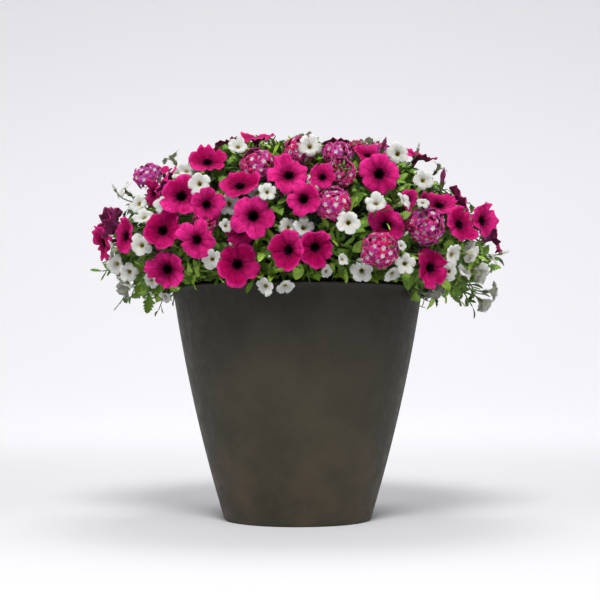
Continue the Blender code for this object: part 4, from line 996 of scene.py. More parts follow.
def stalk_line(bloom, draw):
    """One way from the end of the bloom's tube in to the heart of the bush."""
    start = bloom_end(bloom)
    foot = core_point(start - bloom.facing * STALK_SPREAD + jitter(draw, STALK_SPREAD))
    foot = foot + (STALK_END - foot) * STALK_SINK
    pull = min((start - foot).length * 0.45, STALK_PULL)
    sag = Vector((0, 0, pull * draw.uniform(*STALK_SAG)))
    leave = start - bloom.facing * pull + jitter(draw, STALK_WANDER)
    arrive = foot.lerp(start, 0.35) + sag
    return curve_points(start + bloom.facing * STALK_IN, leave, arrive, foot, CURVE_STEPS)


def add_stalk(greens, bloom, others, draw):
    """The stalk, by the way that passes before the fewest other blooms, thickest where the bloom begins."""
    near = [other for other in others if 0 < (other.centre - bloom.centre).length < STALK_NEAR]
    lines = [stalk_line(bloom, draw) for _ in range(STALK_TRIES)]
    line = max(lines, key=lambda line: clear_of_blooms(line[STALK_HIDDEN:], near).sum())
    swell = np.ones(len(line))
    swell[:len(STALK_SWELL)] = STALK_SWELL
    add_tube(greens, line, STALK_RADII[bloom.kind] * swell, STALK_SIDES, draw.random())


def floret_grids(draw, count, size):
    """Small flowers with five notched petals, all at once, facing +Z at the origin."""
    angles = np.arange(FLORET_COLUMNS) * math.tau / FLORET_COLUMNS
    away = np.arccos(np.abs(np.cos(angles * LOBES / 2))) / (math.pi / 2)
    share = np.array(FLORET_SHARES)[:, None]
    reach = 1 - 0.60 * away**2.4 - 0.15 * hump(away, 0.22)
    grids, places = [], []
    for _ in range(count):
        radius = size * draw.uniform(0.88, 1.08) * share * (1 + (reach - 1) * share)
        dish = size * draw.uniform(-0.26, 0.04) * share**2
        ruffle = size * FLORET_RUFFLE * waves(draw, FLORET_WAVES, angles) * share**2
        turn = angles + draw.uniform(0, math.tau)
        grids.append(np.stack([radius * np.cos(turn), radius * np.sin(turn), dish + ruffle], -1))
        places.append(place_values(grids[-1], share, away, draw.uniform(*FLORET_TONES)))
    return np.array(grids), np.array(places)


def head_size(bloom):
    """The half width and the height of a head's dome."""
    edge = KINDS["verbena"].width / 2 * bloom.size
    return edge, edge * HEAD_DEPTH


def dome_way(share, angle):
    """The way out of a head's dome at this share of its surface, counted from its crown, and this angle."""
    tilt = math.acos(1 - share * (1 - math.cos(HEAD_SPREAD)))
    return Vector((math.sin(tilt) * math.cos(angle), math.sin(tilt) * math.sin(angle), math.cos(tilt)))


def add_florets(petals, greens, bloom, style, draw):
    """The open florets of a head, each on a thin stem, every third one loose."""
    tone, green, count = style
    matrix = bloom_matrix(bloom)
    edge, low = head_size(bloom)
    size = FLORET_SIZE * bloom.size
    grids, places = floret_grids(draw, count, size)
    places[..., 2] += tone
    heart = Vector((0, 0, -low * 1.5))
    for index in range(count):
        loose = index % 3 == 0
        angle = index * GOLDEN_ANGLE + draw.uniform(-0.25, 0.25)
        out = dome_way(green + (1 - green) * (index + 0.5) / count, angle)
        sink = (LOOSE_SINK if loose else draw.uniform(*CLOSE_SINKS)) * MM
        height = low * (out.z - 1) * FLORET_LOW + sink
        spot = Vector((out.x * edge * FLORET_OUT, out.y * edge * FLORET_OUT, height))
        facing = (out + jitter(draw, LOOSE_TURN if loose else CLOSE_TURN)).normalized()
        there = matrix @ Matrix.Translation(spot) @ facing_matrix(facing)
        add_sheets(petals, placed_points(grids[index], there), places[index], FLORET_THICKNESS, True)
        foot = spot - facing * size * 1.5 + Vector((0, 0, -0.002))
        line = [spot - facing * 0.0012, foot, foot.lerp(heart, 0.6), heart]
        line = resampled(smooth_line([matrix @ point for point in line]), 4)
        add_tube(greens, line, FLORET_STEM_RADIUS, 3, 0.6)


def add_head_buds(petals, greens, bloom, style, draw):
    """The closed buds of a head: many where its crown is still green, otherwise a few between its florets."""
    tone, green, _ = style
    matrix = bloom_matrix(bloom)
    edge, low = head_size(bloom)
    buds = round(HEAD_BUDS * green) + HEAD_FEW_BUDS
    for index in range(buds):
        share = green * (index + 0.5) / buds if green > 0.05 else draw.uniform(0.0, 0.9)
        out = dome_way(share, index * GOLDEN_ANGLE)
        top = Vector((out.x * edge * 0.8, out.y * edge * 0.8, low * (out.z - 1) - draw.uniform(0, 2) * MM))
        line = smooth_line([matrix @ (top - out * length) for length in HEAD_BUD_LINE])
        batch, shade = (petals, tone) if index % 2 else (greens, HEAD_BUD_TONE)
        add_tube(batch, resampled(line, len(HEAD_BUD_RADII)), np.array(HEAD_BUD_RADII) * MM, 6, shade)


def add_head_heart(greens, bloom, draw):
    """The green heart of a head, under its florets."""
    edge, low = head_size(bloom)
    turns = np.linspace(math.pi, 0, HEAD_HEART_RINGS)
    profile = [(edge * HEAD_HEART * math.sin(turn), low * HEAD_HEART * math.cos(turn)) for turn in turns]
    heart = turned_grid(profile, HEAD_HEART_SIDES)
    heart += np.array([draw.uniform(-1, 1) * MM for _ in range(heart.size)]).reshape(heart.shape)
    greens.add_grid(placed_points(heart, bloom_matrix(bloom) @ Matrix.Translation((0, 0, -low * 1.05))))


def add_head(petals, greens, bloom, style, others, draw):
    """A verbena head: florets over a flattened dome, with buds between them or at its crown."""
    add_florets(petals, greens, bloom, style, draw)
    add_head_buds(petals, greens, bloom, style, draw)
    add_head_heart(greens, bloom, draw)
    add_stalk(greens, bloom, others, draw)


# Leaves.


def leaf_grids(kind, lengths, draw):
    """The leaves of one kind, all at once: along +X, across Y, upper side +Z."""
    leaf = LEAVES[kind]
    along = np.array(leaf.shares)[None, :, None]
    across = np.array([-1, 0, 1])[None, None, :]
    chances = np.array([[draw.random() for _ in range(5)] for _ in lengths])[:, :, None, None]
    wide, bend, fold, phase, twist = (chances[:, index] for index in range(5))
    half = np.array(leaf.widths)[None, :, None] * leaf.width / 2
    half = half * (0.85 + 0.3 * wide)
    # The outline, with teeth that lean and halves folded up along the middle.
    x = along - leaf.tooth_lean * np.abs(across) * half
    y = across * half * np.cos(0.5 * fold)
    z = leaf.fold * (0.4 + fold) * np.abs(across) * half
    # Then the leaf bends down towards its tip, waves along its edges and twists.
    z = z - (bend * 0.55 - 0.12) * along**2 * leaf.bend
    z = z + leaf.wave * np.sin(9 * along + math.tau * phase) * across**2 * np.sign(across + 1e-9)
    z = z + (twist - 0.5) * 0.5 * across * half * along
    x = x - 0.25 * (bend * 0.55) * along**3 * leaf.bend
    points = np.stack(np.broadcast_arrays(x, y, z), -1) * np.array(lengths)[:, None, None, None]
    return points, place_values(points, along, np.abs(across))


def add_leaves(batch, kind, blades, draw):
    """Adds these leaves, all of one kind."""
    points, places = leaf_grids(kind, [blade.length for blade in blades], draw)
    roots = np.array([blade.root for blade in blades])
    along = np.array([blade.along for blade in blades])
    side = np.cross([blade.upper for blade in blades], along)
    side /= np.linalg.norm(side, axis=1, keepdims=True)
    axes = np.stack([along, side, np.cross(along, side)], 1)
    points = np.einsum("nrck,nkx->nrcx", points, axes) + roots[:, None, None, :]
    places[..., 2] = np.array([blade.tone for blade in blades])[:, None, None]
    add_sheets(batch, points, places, LEAF_THICKNESS, False)


def squared_to(upper, along):
    """The way up, turned nearly square to a leaf's length."""
    return (upper - along * upper.dot(along) * 0.98).normalized()


def stem_line(root, middle, tip, steps=CURVE_STEPS, points=STEM_POINTS):
    """Evenly spaced points along a stem that bends towards a middle point."""
    return resampled(curve_points(root, middle, middle, tip, steps), points)


def shoot_line(spot, normal, depth, draw):
    """A stem from the core's surface out to a little below this spot of the mound."""
    tip = spot - normal * depth
    root = core_point(spot)
    droop = Vector((0, 0, draw.uniform(0.0, 0.012)))
    return stem_line(root, (root + tip) / 2 + droop + jitter(draw, 0.006), tip)


def shoot_leaves(line, normal, kind, draw, tone):
    """Leaves set in turn round the outer part of a stem, from its tip inwards."""
    leaf = LEAVES[kind]
    reach = np.linalg.norm(line[-1] - line[0])
    count = max(2, round(min(reach, leaf.shoot) / leaf.spacing))
    blades = []
    turn = draw.uniform(0, math.tau)
    for number in range(count + 1):
        share = 1 - number * leaf.spacing / max(reach, 0.01)
        if share < SHOOT_START:
            break
        root = Vector(line_at(line, share))
        way = Vector(line_at(line, share) - line_at(line, share - 0.08)).normalized()
        side, up = side_axes(way)
        turn += GOLDEN_ANGLE if kind == "calibrachoa" else math.pi + draw.uniform(-0.5, 0.5)
        spoke = side * math.cos(turn) + up * math.sin(turn)
        spread = TIP_SPREAD if number == 0 else draw.uniform(*LEAF_SPREADS)
        along = way * (1.25 - 0.5 * spread) + spoke * spread + LEAF_RISE + jitter(draw, 0.12)
        along.normalize()
        upper = (normal * 0.8 + UPPER_RISE + jitter(draw, 0.25)).normalized()
        length = draw.uniform(*leaf.length) * (TIP_LEAF if number == 0 else 1.0)
        shade = min(1.0, max(0.0, tone + draw.uniform(-0.15, 0.15)))
        blades.append(Blade(root, along, squared_to(upper, along), length, shade))
    return blades


def line_at(line, share):
    """The point at this share of a line's length, the line being evenly spaced points."""
    place = np.clip(share, 0, 1) * (len(line) - 1)
    index = min(int(place), len(line) - 2)
    return line[index] + (line[index + 1] - line[index]) * (place - index)


def clear_leaves(blades, kinds, blooms):
    """True for each leaf that keeps out of the blooms' way, off the pot and inside the bush's outline."""
    roots = np.array([blade.root for blade in blades])
    along = np.array([blade.along for blade in blades])
    sides = np.cross([blade.upper for blade in blades], along)
    lengths = np.array([blade.length for blade in blades])[:, None]
    halves = lengths * np.array([LEAVES[kind].width for kind in kinds])[:, None] * LEAF_SIDE_OUT
    places = [roots + along * lengths * share for share in LEAF_TESTS]
    for share in LEAF_SIDES:
        places += [roots + along * lengths * share + sides * halves * way for way in (-1, 1)]
    kept = np.ones(len(blades), bool)
    for points in places:
        left = np.flatnonzero(kept)
        kept[left] = clear_of_blooms(points[left], blooms) & outside_pot(points[left], LEAF_POT_CLEAR)
    tips = roots + along * lengths
    levels = np.array([mound_level(tip) for tip in tips])
    shoulder = hump(np.abs(tips[:, 0]) - SHOULDER_PLACE, SHOULDER_WIDTH)
    return kept & ((levels < LEAF_REACH - SHOULDER_DROP * shoulder) | (tips[:, 2] < MOUND_WAIST))


# Pot and soil.


def turned_grid(profile, sides):
    """A profile of (radius, height) turned about Z."""
    profile = np.array(profile, float)
    turn = np.arange(sides) * math.tau / sides
    radius = np.maximum(profile[:, :1], NOTHING)
    return np.stack([radius * np.cos(turn), radius * np.sin(turn), profile[:, 1:] + 0 * turn], -1)


def arc(centre, radius, start, end, steps):
    """Points of an arc in the profile's plane, its angles in degrees."""
    angles = np.radians(np.linspace(start, end, steps))
    return [(centre[0] + radius * math.cos(turn), centre[1] + radius * math.sin(turn)) for turn in angles]


def pot_profile():
    """From the axis under the floor, up the outside, over the rolled lip and down the inside."""
    low = POT_HEIGHT - LIP_RADIUS
    inner = RIM_RADIUS - WALL
    outside = [(pot_radius(height), height) for height in np.linspace(FOOT_CHAMFER, low, OUTER_RINGS)]
    heights = np.linspace(low, FLOOR_THICKNESS, INNER_RINGS)
    inside = [(pot_radius(height) - WALL, height) for height in heights]
    foot = [(0, 0), (FOOT_RADIUS - 2 * FOOT_CHAMFER, 0)]
    foot += arc((FOOT_RADIUS - FOOT_CHAMFER, FOOT_CHAMFER), FOOT_CHAMFER, *FOOT_TURNS, FOOT_RINGS)
    start, top, end = LIP_TURNS
    lip = arc((RIM_RADIUS - LIP_RADIUS, low), LIP_RADIUS, start, top, LIP_RINGS)
    lip += arc((inner + LIP_RADIUS, low), LIP_RADIUS, top, end, LIP_RINGS)
    return foot + outside + lip + inside + [(inner * 0.3, FLOOR_THICKNESS), (0, FLOOR_THICKNESS)]


def build_pot(finish):
    """The turned pot with its drain holes cut through the floor."""
    batch = Batch()
    batch.add_grid(turned_grid(pot_profile(), POT_SIDES))
    pot = batch.piece("pot_shell", finish, ["pot"])
    weld(pot)
    holes = Batch()
    for index in range(DRAIN_COUNT):
        angle = (index + 0.5) * math.tau / DRAIN_COUNT
        foot = Vector((DRAIN_CIRCLE * math.cos(angle), DRAIN_CIRCLE * math.sin(angle), -DRAIN_OVER))
        head = foot + Vector((0, 0, FLOOR_THICKNESS + 2 * DRAIN_OVER))
        add_tube(holes, [foot, head], DRAIN_RADIUS, DRAIN_SIDES, 0.0)
    cutter = holes.mesh_object("drain_cutter", finish)
    weld(cutter)
    tool = pot.modifiers.new("drain", "BOOLEAN")
    tool.operation = "DIFFERENCE"
    tool.object = cutter
    bpy.context.view_layer.update()
    cut = bpy.data.meshes.new_from_object(pot.evaluated_get(bpy.context.evaluated_depsgraph_get()))
    pot.modifiers.clear()
    pot.data = cut
    bpy.data.objects.remove(cutter)
    pot.data.set_sharp_from_angle(angle=SHARP_ANGLE)


def weld(item):
    """Joins the points that lie together, such as those on the axis of a turned shape."""
    shape = bmesh.new()
    shape.from_mesh(item.data)
    bmesh.ops.remove_doubles(shape, verts=shape.verts, dist=WELD_REACH)
    shape.to_mesh(item.data)
    shape.free()


def ripples(draw, points, count, rates):
    """Many sine waves through the points, one along the last axis for each, and how fast each one changes."""
    ways = np.array([[draw.gauss(0, 1) for _ in range(points.shape[-1])] for _ in range(count)])
    phases = np.array([draw.uniform(0, math.tau) for _ in range(count)])
    rates = np.geomspace(*rates, count)
    ways = ways / np.linalg.norm(ways, axis=1, keepdims=True) * rates[:, None]
    return np.sin(points @ ways.T + phases), rates


def build_soil(finish, draw):
    """Crumbly soil, a little below the pot's rim."""
    heights = np.linspace(FLOOR_THICKNESS + SOIL_GAP, SOIL_TOP, SOIL_WALL_RINGS)
    walls = [(pot_radius(height) - WALL - SOIL_GAP, height) for height in heights]
    edge = walls[-1][0]
    rings = np.linspace(1, 0, SOIL_RINGS)[1:]
    top = [(edge * share, SOIL_TOP + SOIL_CROWN * (1 - share**2)) for share in rings]
    points = turned_grid([(0, walls[0][1])] + walls + top, SOIL_SIDES)
    surface = points[len(walls) + 1:]
    lumps, rates = ripples(draw, surface[..., :2], SOIL_RIPPLES, SOIL_RATES)
    surface[..., 2] += SOIL_LUMP * (lumps / rates * SOIL_RATES[0]).sum(-1)
    batch = Batch()
    batch.add_grid(points)
    for _ in range(SOIL_CRUMBS):
        add_crumb(batch, edge, draw)
    weld(batch.piece("soil_bed", finish, ["soil"]))


def add_crumb(batch, edge, draw):
    """One crumb of soil on the bed."""
    radius, angle = edge * CRUMB_REACH * math.sqrt(draw.random()), draw.uniform(0, math.tau)
    size = draw.uniform(*CRUMB_SIZES)
    profile = [(share * size, height * size * CRUMB_FLATNESS) for share, height in CRUMB_PROFILE]
    crumb = turned_grid(profile, CRUMB_SIDES)
    crumb *= np.array([draw.uniform(*CRUMB_STRETCH) for _ in range(3)])
    moves = [draw.uniform(-CRUMB_ROUGHNESS, CRUMB_ROUGHNESS) * size for _ in range(crumb.size)]
    crumb += np.array(moves).reshape(crumb.shape)
    crumb += (radius * math.cos(angle), radius * math.sin(angle), SOIL_TOP + SOIL_CROWN * CRUMB_LIFT)
    batch.add_grid(crumb)


def build_heart(finish, draw):
    """The heart of the bush in painted deep shade, lumpy as packed small leaves are, and the crown stems
    below it.
    """
    shares = [(share * CORE_SHRINK, height + CORE_BASE) for share, height in CORE_PROFILE]
    profile = list(smooth_line(shares, 3)) + [(0.0, CORE_BASE + CORE_TOP)]
    line = resampled(smooth_line(profile, 2), HEART_RINGS)
    points = turned_grid(np.concatenate([[[0, CORE_BASE], [0.5, CORE_BASE]], line]), HEART_SIDES)
    points[..., 0] *= CORE_HALF_WIDTH
    points[..., 1] *= np.where(points[..., 1] < 0, CORE_FRONT_DEPTH, CORE_BACK_DEPTH)
    waves_there, _ = ripples(draw, points, HEART_RIPPLES, HEART_RATES)
    lumps = waves_there.sum(-1, keepdims=True)
    out = points - np.array([0, 0, CORE_BASE + 0.04])
    out = out / np.maximum(np.linalg.norm(out, axis=-1, keepdims=True), 1e-6)
    batch = Batch()
    batch.add_grid(points + out * (lumps * HEART_LUMP - HEART_IN))
    for x, y in CROWN_STEMS:
        line = curve_points(*[(x * share, y * share, height) for share, height in CROWN_LINE], 8)
        add_tube(batch, line, CROWN_RADIUS, 12, 0.5)
    weld(batch.piece("bush_heart", finish, ["foliage"]))


# Growing it all.


def mound_shoots(draw):
    """Shoots all over the mound, the deepest the darkest, as painted shade inside the bush."""
    shoots = []
    for index in range(SHOOT_LATTICE):
        spot = mound_point(lattice_way(index, SHOOT_LATTICE, SHOOT_TOP, SHOOT_LOW))
        normal = mound_normal(spot)
        kind = draw.choices(list(LEAVES), SHOOT_SHARES)[0]
        depth = draw.uniform(*SHOOT_DEPTH)
        # Painted shade: the deeper a shoot lies under the mound, the darker its leaves.
        tone = 0.66 - depth * SHOOT_DEPTH_SHADE + draw.uniform(-0.2, 0.3)
        line = shoot_line(spot + jitter(draw, SHOOT_WANDER), normal, depth, draw)
        shoots.append(Shoot(line, kind, shoot_leaves(line, normal, kind, draw, tone)))
    return shoots


def inner_leaves(draw):
    """Dark leaves close to the heart of the bush, each as a shoot of its own without a stem, darker still the
    nearer the heart, as painted shade.
    """
    shoots = []
    for index in range(INNER_LATTICE):
        spot = mound_point(lattice_way(index, INNER_LATTICE, INNER_TOP, INNER_LOW))
        out = mound_normal(spot)
        kind = draw.choices(list(LEAVES), INNER_SHARES)[0]
        along = (out * 0.8 + jitter(draw, INNER_TURN)).normalized()
        upper = (out + Vector((0, 0, 0.4)) + jitter(draw, 0.2)).normalized()
        share = INNER_OUT * draw.random()
        root = core_point(spot).lerp(spot, share) + jitter(draw, 0.004)
        length = draw.uniform(*LEAVES[kind].length) * INNER_SIZE
        # Painted shade: the nearer the heart a leaf lies, the darker its tone.
        tone = share + draw.uniform(*INNER_TONES)
        shoots.append(Shoot(None, kind, [Blade(root, along, squared_to(upper, along), length, tone)]))
    return shoots


def trailing_shoots(draw):
    """The shoots that stand out beyond the mound."""
    shoots = []
    for tip, kind in TRAILING:
        tip = Vector(tip) * MM
        root = core_point(tip + Vector((0, 0, 0.03)))
        middle = (root + tip) / 2 + Vector((0, 0, TRAIL_ARCH))
        line = stem_line(root, middle, tip, TRAIL_POINTS, TRAIL_POINTS)
        normal = Vector((tip.x, tip.y, 0.05)).normalized()
        shoots.append(Shoot(line, kind, shoot_leaves(line, normal, kind, draw, TRAIL_TONE)))
    return shoots


def rim_shoots(draw):
    """Short shoots from the soil round the edge of the pot, leaning out over its rim."""
    shoots = []
    for index in range(RIM_SHOOTS):
        angle = (index + draw.random()) * math.tau / RIM_SHOOTS
        way = Vector((math.cos(angle), math.sin(angle), 0))
        root = way * draw.uniform(*RIM_ROOTS) + Vector((0, 0, SOIL_TOP))
        tip = way * draw.uniform(*RIM_TIPS) + Vector((0, 0, draw.uniform(*RIM_RISE)))
        line = stem_line(root, root.lerp(tip, 0.5) + Vector((0, 0, RIM_ARCH)), tip)
        kind = draw.choices(list(LEAVES), RIM_SHARES)[0]
        shoots.append(Shoot(line, kind, shoot_leaves(line, way, kind, draw, draw.uniform(*RIM_TONES))))
    return shoots


def clear_stems(shoots, blooms):
    """The shoots whose stems touch and hide no bloom, and after them those without a stem."""
    bare = [shoot for shoot in shoots if shoot.line is None]
    stemmed = [shoot for shoot in shoots if shoot.line is not None]
    points = np.concatenate([resampled(shoot.line, STEM_TESTS) for shoot in stemmed])
    clear = clear_of_blooms(points, blooms).reshape(len(stemmed), STEM_TESTS)[:, STEM_HIDDEN:].all(axis=1)
    return [shoot for shoot, good in zip(stemmed, clear) if good] + bare


def add_stem(stems, line, root):
    """The stem of a shoot, as far as the root of its outermost leaf."""
    last = np.linalg.norm(line - np.array(root), axis=1).argmin()
    line = np.concatenate([line[:last], [root]])
    if len(line) > 2:
        radii = np.linspace(*STEM_RADII, STEM_RINGS)
        add_tube(stems, resampled(line, STEM_RINGS), radii, STEM_SIDES, STEM_TONE)


def grow_foliage(draw, blooms, finishes):
    """All the shoots, without the leaves that would be in the blooms' way."""
    shoots = mound_shoots(draw) + inner_leaves(draw) + trailing_shoots(draw) + rim_shoots(draw)
    shoots = clear_stems(shoots, blooms)
    kinds = [shoot.kind for shoot in shoots for _ in shoot.blades]
    clear = iter(clear_leaves([blade for shoot in shoots for blade in shoot.blades], kinds, blooms))
    stems = Batch()
    blades = {kind: [] for kind in LEAVES}
    for shoot in shoots:
        kept = [blade for blade in shoot.blades if next(clear)]
        blades[shoot.kind] += kept
        if shoot.line is not None and kept:
            add_stem(stems, shoot.line, kept[0].root)
    for kind, group in blades.items():
        batch = Batch()
        add_leaves(batch, kind, group, draw)
        batch.piece(f"{kind}_leaves", finishes["leaf"])
    stems.piece("shoots", finishes["stem"])


def add_bud(petals, greens, spot, facing, length, draw):
    """A closed bud in its calyx, on a stalk of its own."""
    spot, facing = Vector(spot) * MM, Vector(facing).normalized()
    shares = np.linspace(0, 1, len(BUD_RADII))
    line = resampled(smooth_line([spot + facing * length * share * MM for share in shares]), BUD_RINGS)
    radii = np.interp(np.linspace(0, 1, BUD_RINGS), shares, BUD_RADII) * length * MM
    bud = Batch()
    add_tube(bud, line, radii, BUD_SIDES, draw.random())
    places = bud.places[0].copy()
    places[:, 0] = 0.2 + 0.8 * places[:, 0]
    places[:, 3] = 1
    petals.add(bud.points[0], bud.faces[0], places)
    matrix = Matrix.Translation(spot) @ facing_matrix(facing)
    for step in range(LOBES):
        angle = (step + 0.5) * math.tau / LOBES
        add_sepal(greens, matrix, angle, MM / 2, length * BUD_SEPAL * MM, draw.random(), draw)
    foot = core_point(spot)
    pull = min((spot - foot).length * 0.4, 0.02)
    stalk = curve_points(spot + facing * MM, spot - facing * pull, foot.lerp(spot, 0.4), foot, CURVE_STEPS)
    add_tube(greens, stalk, BUD_STALK_RADIUS, BUD_STALK_SIDES, draw.random())


def grow_buds(draw, finishes):
    """The buds that stand out between the open blooms."""
    greens = Batch()
    for kind, buds in BUDS.items():
        petals = Batch()
        for spot, facing, length in buds:
            add_bud(petals, greens, spot, facing, length, draw)
        petals.piece(f"{kind}_buds", finishes[kind])
    greens.piece("bud_stalks", finishes["stem"])


def grow_blooms(draw, sprays, placed, finishes):
    """Each spray's petals in place of its solid, and the green parts of all the sprays."""
    greens = Batch()
    counts = {}
    styles = list(HEAD_STYLES)
    for kind, blooms in sprays:
        counts[kind] = counts.get(kind, 0) + 1
        petals = Batch()
        for bloom in blooms:
            if kind == "verbena":
                other = (draw.uniform(*OTHER_HEAD_TONES), draw.choice(OTHER_HEAD_GREENS), OTHER_HEAD_FLORETS)
                add_head(petals, greens, bloom, styles.pop(0) if styles else other, placed, draw)
            else:
                add_flower(petals, greens, bloom, placed, draw)
        node = f"{kind}_spray_{counts[kind]:02d}"
        petals.piece(f"{node}_petals", finishes[kind], [node])
    greens.piece("stalks_and_sepals", finishes["stem"])


# Materials.


class Graph:
    """Short calls that add nodes to a material's tree."""

    def __init__(self, name):
        self.finish = bpy.data.materials.new(name)
        self.finish.use_nodes = True
        self.tree = self.finish.node_tree
        self.shader = self.tree.nodes["Principled BSDF"]

    def node(self, kind, values=(), **settings):
        """A new node with these values or links at its inputs."""
        node = self.tree.nodes.new(kind)
        for name, setting in settings.items():
            setattr(node, name, setting)
        for socket, value in values:
            self.put(node.inputs[socket], value)
        return node

    def put(self, socket, value):
        """Links the value to the input, or sets the input to it."""
        if isinstance(value, bpy.types.NodeSocket):
            self.tree.links.new(value, socket)
        else:
            socket.default_value = value

    def set(self, name, value):
        """Sets or links an input of the material's shader."""
        self.put(self.shader.inputs[name], value)

    def maths(self, operation, *values, clamp=False):
        """The result of one sum on these values."""
        return self.node("ShaderNodeMath", enumerate(values), operation=operation, use_clamp=clamp).outputs[0]

    def step(self, value, start, end, low=0.0, high=1.0):
        """A smooth change from low to high as the value goes from start to end."""
        settings = [(0, value), (1, start), (2, end), (3, low), (4, high)]
        return self.node("ShaderNodeMapRange", settings, interpolation_type="SMOOTHSTEP").outputs[0]

    def mix(self, share, first, second):
        """The first colour with this share of the second in it."""
        values = [(0, share), (6, colour_of(first)), (7, colour_of(second))]
        return self.node("ShaderNodeMix", values, data_type="RGBA").outputs[2]

    def object_place(self):
        """Where the point lies, in metres."""
        return self.node("ShaderNodeTexCoord").outputs["Object"]

    def noise(self, scale, detail=3.0, roughness=0.55, place=None):
        """Soft random blotches, about this many of them to a metre."""
        place = self.object_place() if place is None else place
        values = [("Vector", place), ("Scale", scale), ("Detail", detail), ("Roughness", roughness)]
        return self.node("ShaderNodeTexNoise", values).outputs["Fac"]

    def places(self):
        """The three values of each point's place, and its back flag."""
        place = self.node("ShaderNodeAttribute", attribute_name="place").outputs["Vector"]
        parts = self.node("ShaderNodeSeparateXYZ", [(0, place)]).outputs
        back = self.node("ShaderNodeAttribute", attribute_name="back").outputs["Fac"]
        return parts[0], parts[1], parts[2], back

    def bump(self, height, strength, distance):
        """Makes the surface look raised by this height."""
        values = [("Height", height), ("Strength", strength), ("Distance", distance)]
        self.set("Normal", self.node("ShaderNodeBump", values).outputs[0])


def colour_of(value):
    """A colour with its alpha, or a link as it is."""
    return (*value, 1.0) if isinstance(value, tuple) else value


def petal_finish(name, looks):
    """Petals with veins that fan out along each lobe, painted shade in the creases and towards the throat, a
    paler rim that is partly a painted highlight, a throat of its own colour and a paler back.
    """
    graph = Graph(name)
    reach, away, tone, back = graph.places()
    blotch = graph.noise(160.0)
    spread = graph.maths("MULTIPLY", away, 9.0)
    spots = graph.node("ShaderNodeCombineXYZ", [(0, spread), (1, reach), (2, tone)]).outputs[0]
    streak = graph.noise(1.6, 3.0, 0.6, spots)
    patch = graph.step(graph.noise(45.0, 2.0), 0.30, 0.70, -looks.patch, looks.patch)
    colour = graph.mix(graph.maths("ADD", tone, patch, clamp=True), looks.first, looks.second)
    colour = graph.mix(graph.step(blotch, 0.35, 0.75, 0.0, looks.blotch), colour, looks.shade)
    colour = graph.mix(graph.step(streak, 0.42, 0.72, 0.0, looks.blotch), colour, looks.shade)
    # Darker towards the throat: partly the petal's own colour, partly painted shade down in the funnel.
    colour = graph.mix(graph.step(reach, 0.22, 0.72, looks.halo, 0.0), colour, looks.shade)
    wobble = graph.maths("MULTIPLY", graph.noise(90.0, 2.0), 1.2)
    bend = graph.maths("MULTIPLY_ADD", away, looks.veins, wobble)
    line = graph.maths("ABSOLUTE", graph.maths("SINE", bend))
    vein = graph.step(line, 0.0, 0.42, 1.0, 0.0)
    fade = graph.step(reach, looks.vein_start, looks.vein_end, looks.vein, 0.0)
    colour = graph.mix(graph.maths("MULTIPLY", vein, fade), colour, looks.vein_colour)
    # A paler rim along the edge: partly the petal's own colour, partly a painted highlight.
    colour = graph.mix(graph.step(reach, 0.80, 1.0, 0.0, looks.rim), colour, looks.rim_colour)
    # Dark lines along each lobe's middle and between lobes: partly veins, partly painted shade in the petal's
    # creases.
    rib = graph.step(away, 0.0, 0.12, 0.7, 0.0)
    creases_veins_and_shade = graph.maths("MAXIMUM", rib, graph.step(away, 0.86, 1.0))
    ragged = graph.maths("ADD", reach, graph.maths("MULTIPLY", blotch, 0.3))
    fading = graph.step(ragged, 0.40, 1.05, looks.vein, 0.05)
    colour = graph.mix(graph.maths("MULTIPLY", creases_veins_and_shade, fading), colour, looks.vein_colour)
    star = graph.maths("MULTIPLY_ADD", away, -looks.star, looks.throat + looks.star)
    throat = graph.step(reach, graph.maths("MULTIPLY", star, 0.62), star, 1.0, 0.0)
    colour = graph.mix(throat, colour, looks.throat_colour)
    behind = graph.mix(graph.step(line, 0.0, 0.5, 0.5, 0.0), looks.back, looks.back_vein)
    behind = graph.mix(graph.step(reach, 0.10, 0.45, 1.0, 0.0), behind, looks.tube)
    graph.set("Base Color", graph.mix(back, colour, behind))
    graph.set("Roughness", looks.roughness)
    graph.set("Specular IOR Level", 0.05)
    graph.set("Subsurface Weight", looks.glow)
    graph.set("Subsurface Radius", (0.003, 0.002, 0.002))
    graph.set("Subsurface Scale", 1.0)
    height = graph.maths("MULTIPLY_ADD", vein, -0.4, graph.maths("MULTIPLY", streak, 3.0))
    graph.bump(graph.maths("ADD", height, graph.noise(450.0, 2.0)), 0.8, 0.0013)
    return graph.finish
